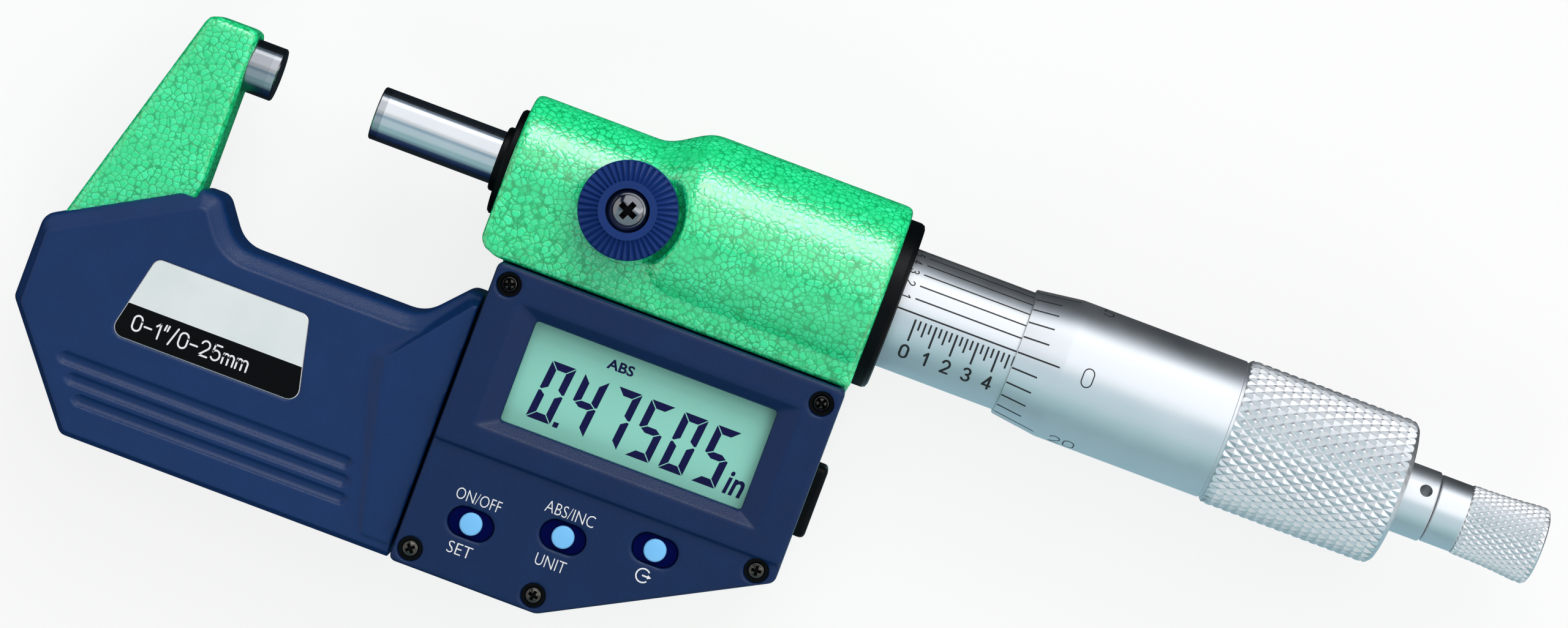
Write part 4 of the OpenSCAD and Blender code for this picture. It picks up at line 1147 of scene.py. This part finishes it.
def add_flat(outline, left, low):
    """Adds a slanted flat shape to the figures' mesh."""
    start = len(points)
    for x, y in outline:
        points.append((left + x + lean_x * y, low + y, lcd_z))
    faces.append(tuple(range(start, len(points))))


for i, figure in enumerate("047505"):
    for bar in figures[figure]:
        add_flat(bars[bar], digit_x - lean_x * digit_h + i * digit_step, digit_y + i * digit_drop)
dot_w = 0.62
add_flat([(0, 0), (dot_w, 0), (dot_w, dot_w), (0, dot_w)], 43.87, digit_y - 0.1)


def text_mesh(name, words, low, high, z, weight):
    """Flat lettering that fills the box from low to high, in millimetres."""
    curve = bpy.data.curves.new(name, "FONT")
    curve.body = words
    curve.size = 1.0
    curve.offset = weight
    curve.resolution_u = 3
    mesh = evaluated_mesh(stand(name, curve))
    bpy.data.curves.remove(curve)
    xs = [v.co.x for v in mesh.vertices]
    ys = [v.co.y for v in mesh.vertices]
    left, foot = min(xs), min(ys)
    scale_x = (high[0] - low[0]) / (max(xs) - left)
    scale_y = (high[1] - low[1]) / (max(ys) - foot)
    for v in mesh.vertices:
        v.co = Vector((low[0] + (v.co.x - left) * scale_x, low[1] + (v.co.y - foot) * scale_y, z)) * MM
    return mesh


lcd_ink = moulded("lcd_ink", (9, 10, 64), (15, 16, 76), (0.5, 0.6), 5000.0, 0.001, 0.1)
unit_foot, unit_lean = -26.7, 0.13
unit = text_mesh("unit_in", "in", (64.7, unit_foot), (66.85, -23.95), lcd_z, 0.02)
for v in unit.vertices:
    v.co.x += unit_lean * (v.co.y - unit_foot * MM)
state = text_mesh("state_abs", "ABS", (47.35, -17.95), (50.55, -16.73), lcd_z, 0.025)
shown = joined("display_figures", [plain_mesh("display_figures", points, faces), unit, state])
add_piece("display_figures", shown, lcd_ink, "frame_body", "lcd")

# The display cover: one navy moulding with the bevelled window frame and the lower key panel,
# sealed by a gasket and held by five black cross-head screws in round recesses.
cover_plastic = moulded("cover_plastic", (0, 30, 72), (2, 37, 82), (0.32, 0.45), depth=0.03, gleam=0.25)
cover = rounded_copy("display_cover", shell_grain, shell_rounds)
add_piece("display_cover_moulding", cover, cover_plastic, "frame_body", "cover_plastic", "display_cover")
dress(seal_rubber, "cover_gasket")

black_steel = turned_metal("black_steel", (62, 60, 57), (80, 77, 72), (0.14, 0.22), 4000.0, 0.002)
screw_low, screw_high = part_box("cover_screws")
screw_top = screw_high.z / MM
screw_seat = screw_top - 0.95
screw_cross = (1.5, 0.42, 0.7)
cover_screw = cross_screw(
    "cover_screw", 1.0, screw_seat, screw_top, 0.25, 0.22, screw_cross, 20, screw_low.z / MM, 0.8
)
washer_hole, washer_r, washer_top = 0.9, 1.42, screw_top - 0.5
washer_profile = [
    (screw_seat, washer_hole),
    (screw_seat, washer_r),
    (washer_top, washer_r),
    (washer_top, washer_hole),
]
washer = turned_mesh("cover_washer", washer_profile, "Z", 32)
screw_places = [(33.75, -12.75), (71.85, -13.0), (71.6, -33.54), (33.65, -45.1), (48.72, -45.2)]
screw_inputs = {"Places": "Geometry", "Item": "Object", "Twist": "Float", "Finish": "Material"}
screw_tree, given, screw_keys = start_tree("screws_in_place", screw_inputs)
number = add_node(screw_tree, "GeometryNodeInputIndex").outputs[0]
twist = math_node(screw_tree, "MULTIPLY", number, given["Twist"])
angles = add_node(screw_tree, "ShaderNodeCombineXYZ", {"Z": twist})
end_tree(screw_tree, given, given["Places"], angles)


def in_each_place(name, item_mesh, finish):
    """Sets a copy of a mesh at each cover screw's place, each turned a little further."""
    places = plain_mesh(name, [(x, y, 0) for x, y in screw_places], [])
    values = {"Twist": math.radians(37), "Finish": finish}
    return grown_mesh(name, screw_tree, screw_keys, places, item_mesh, values)


screw_set = in_each_place("cover_screw_set", cover_screw, black_steel)
add_piece("cover_screw_set", screw_set, black_steel, "frame_body", "black_steel", "cover_screws")
# The faces in each screw's cross are painted black, a painted shade for the recesses.
blacken_recess(screw_set, screw_places, 0.78, screw_top - 0.3)
washer_set = in_each_place("cover_washer_set", washer, black_plastic)
add_piece("cover_washer_set", washer_set, black_plastic, "frame_body", "black_steel")

# The keys: a deep blue silicone keypad shows in three oval slots, and a light blue
# moulded cap stands in each. Their names are printed on the panel in white.
keypad_rubber = moulded("keypad_rubber", (0, 3, 56), (1, 7, 68), (0.4, 0.55), 3000.0, 0.006, 0.02)
key_plastic = moulded("key_plastic", (116, 190, 244), (126, 200, 251), (0.30, 0.42), 3500.0, 0.006, 0.3)
dress(keypad_rubber, "keypad")
flange_r, flange_h, cap_r, cap_ease = 1.825, 0.75, 1.325, 0.24
for node_name, body in (("on_off_key", "key_one"), ("abs_key", "key_two"), ("data_key", "key_three")):
    low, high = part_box(node_name)
    middle = (low + high) / 2
    low_z, top_z = low.z / MM, high.z / MM
    flange_z = low_z + flange_h
    key = [(low_z, 0), (low_z, flange_r), (flange_z, flange_r), (flange_z, cap_r)]
    key += rounded_rim(top_z - 0.32, cap_r, cap_ease, 5)
    key += [(top_z - 0.02, 0.55), (top_z, 0.0)]
    cap = turned_mesh(node_name + "_cap", key, "Z", 48)
    cap.transform(Matrix.Translation((middle.x, middle.y, 0)))
    smooth_faces(cap, 35)
    add_piece(node_name + "_cap", cap, key_plastic, body, "key_plastic", node_name)

panel_z = 9.2 + 0.03
key_labels = []
for words, low, high in (
    ("ON/OFF", (36.42, -37.72), (41.8, -36.37)),
    ("SET", (37.6, -43.88), (40.5, -42.5)),
    ("ABS/INC", (46.5, -35.57), (52.4, -34.2)),
    ("UNIT", (47.5, -41.67), (51.1, -40.3)),
):
    key_labels.append(text_mesh("label", words, low, high, panel_z, -0.012))
out_x, out_y, out_r, line_w, ring_steps = 59.67, -38.58, 0.80, 0.17, 24
shaft, barb = line_w / 2 + 0.005, 0.25
points = []
for k in range(ring_steps + 1):
    turn = math.radians(40 + 280 * k / ring_steps)
    for radius in (out_r - line_w / 2, out_r + line_w / 2):
        points.append((out_x + radius * math.cos(turn), out_y + radius * math.sin(turn), panel_z))
key_labels.append(strip_mesh("label_data", points))
arrow_side = [(-0.1, shaft), (0.55, shaft), (0.55, barb)]
arrow = [(x, -y) for x, y in arrow_side] + [(1.0, 0)] + arrow_side[::-1]
points = [(out_x + x, out_y + y, panel_z) for x, y in arrow]
key_labels.append(plain_mesh("label_arrow", points, [tuple(range(len(arrow)))]))
add_piece("key_labels", joined("key_labels", key_labels), white_print, "frame_body", "cover_plastic")

# The bare metal of the jaws, sleeve, thimble, ratchet and range plate takes no light from the
# strip lamp, so that its lines stay clear in the shine: the lamp's list leaves these pieces out.
shaded = strip_lamp.light_linking.receiver_collection
for name in ("thimble_barrel", "thimble_knurl", "ratchet_knob_body", "ratchet_knurl", "range_plate_body"):
    shaded.objects.link(bpy.data.objects[name])
for name in ("anvil", "anvil_tip", "spindle", "spindle_tip", "sleeve", "ratchet_stop", "ratchet_screw"):
    shaded.objects.link(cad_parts[name])
for linked in shaded.collection_objects:
    linked.light_linking.link_state = "EXCLUDE"
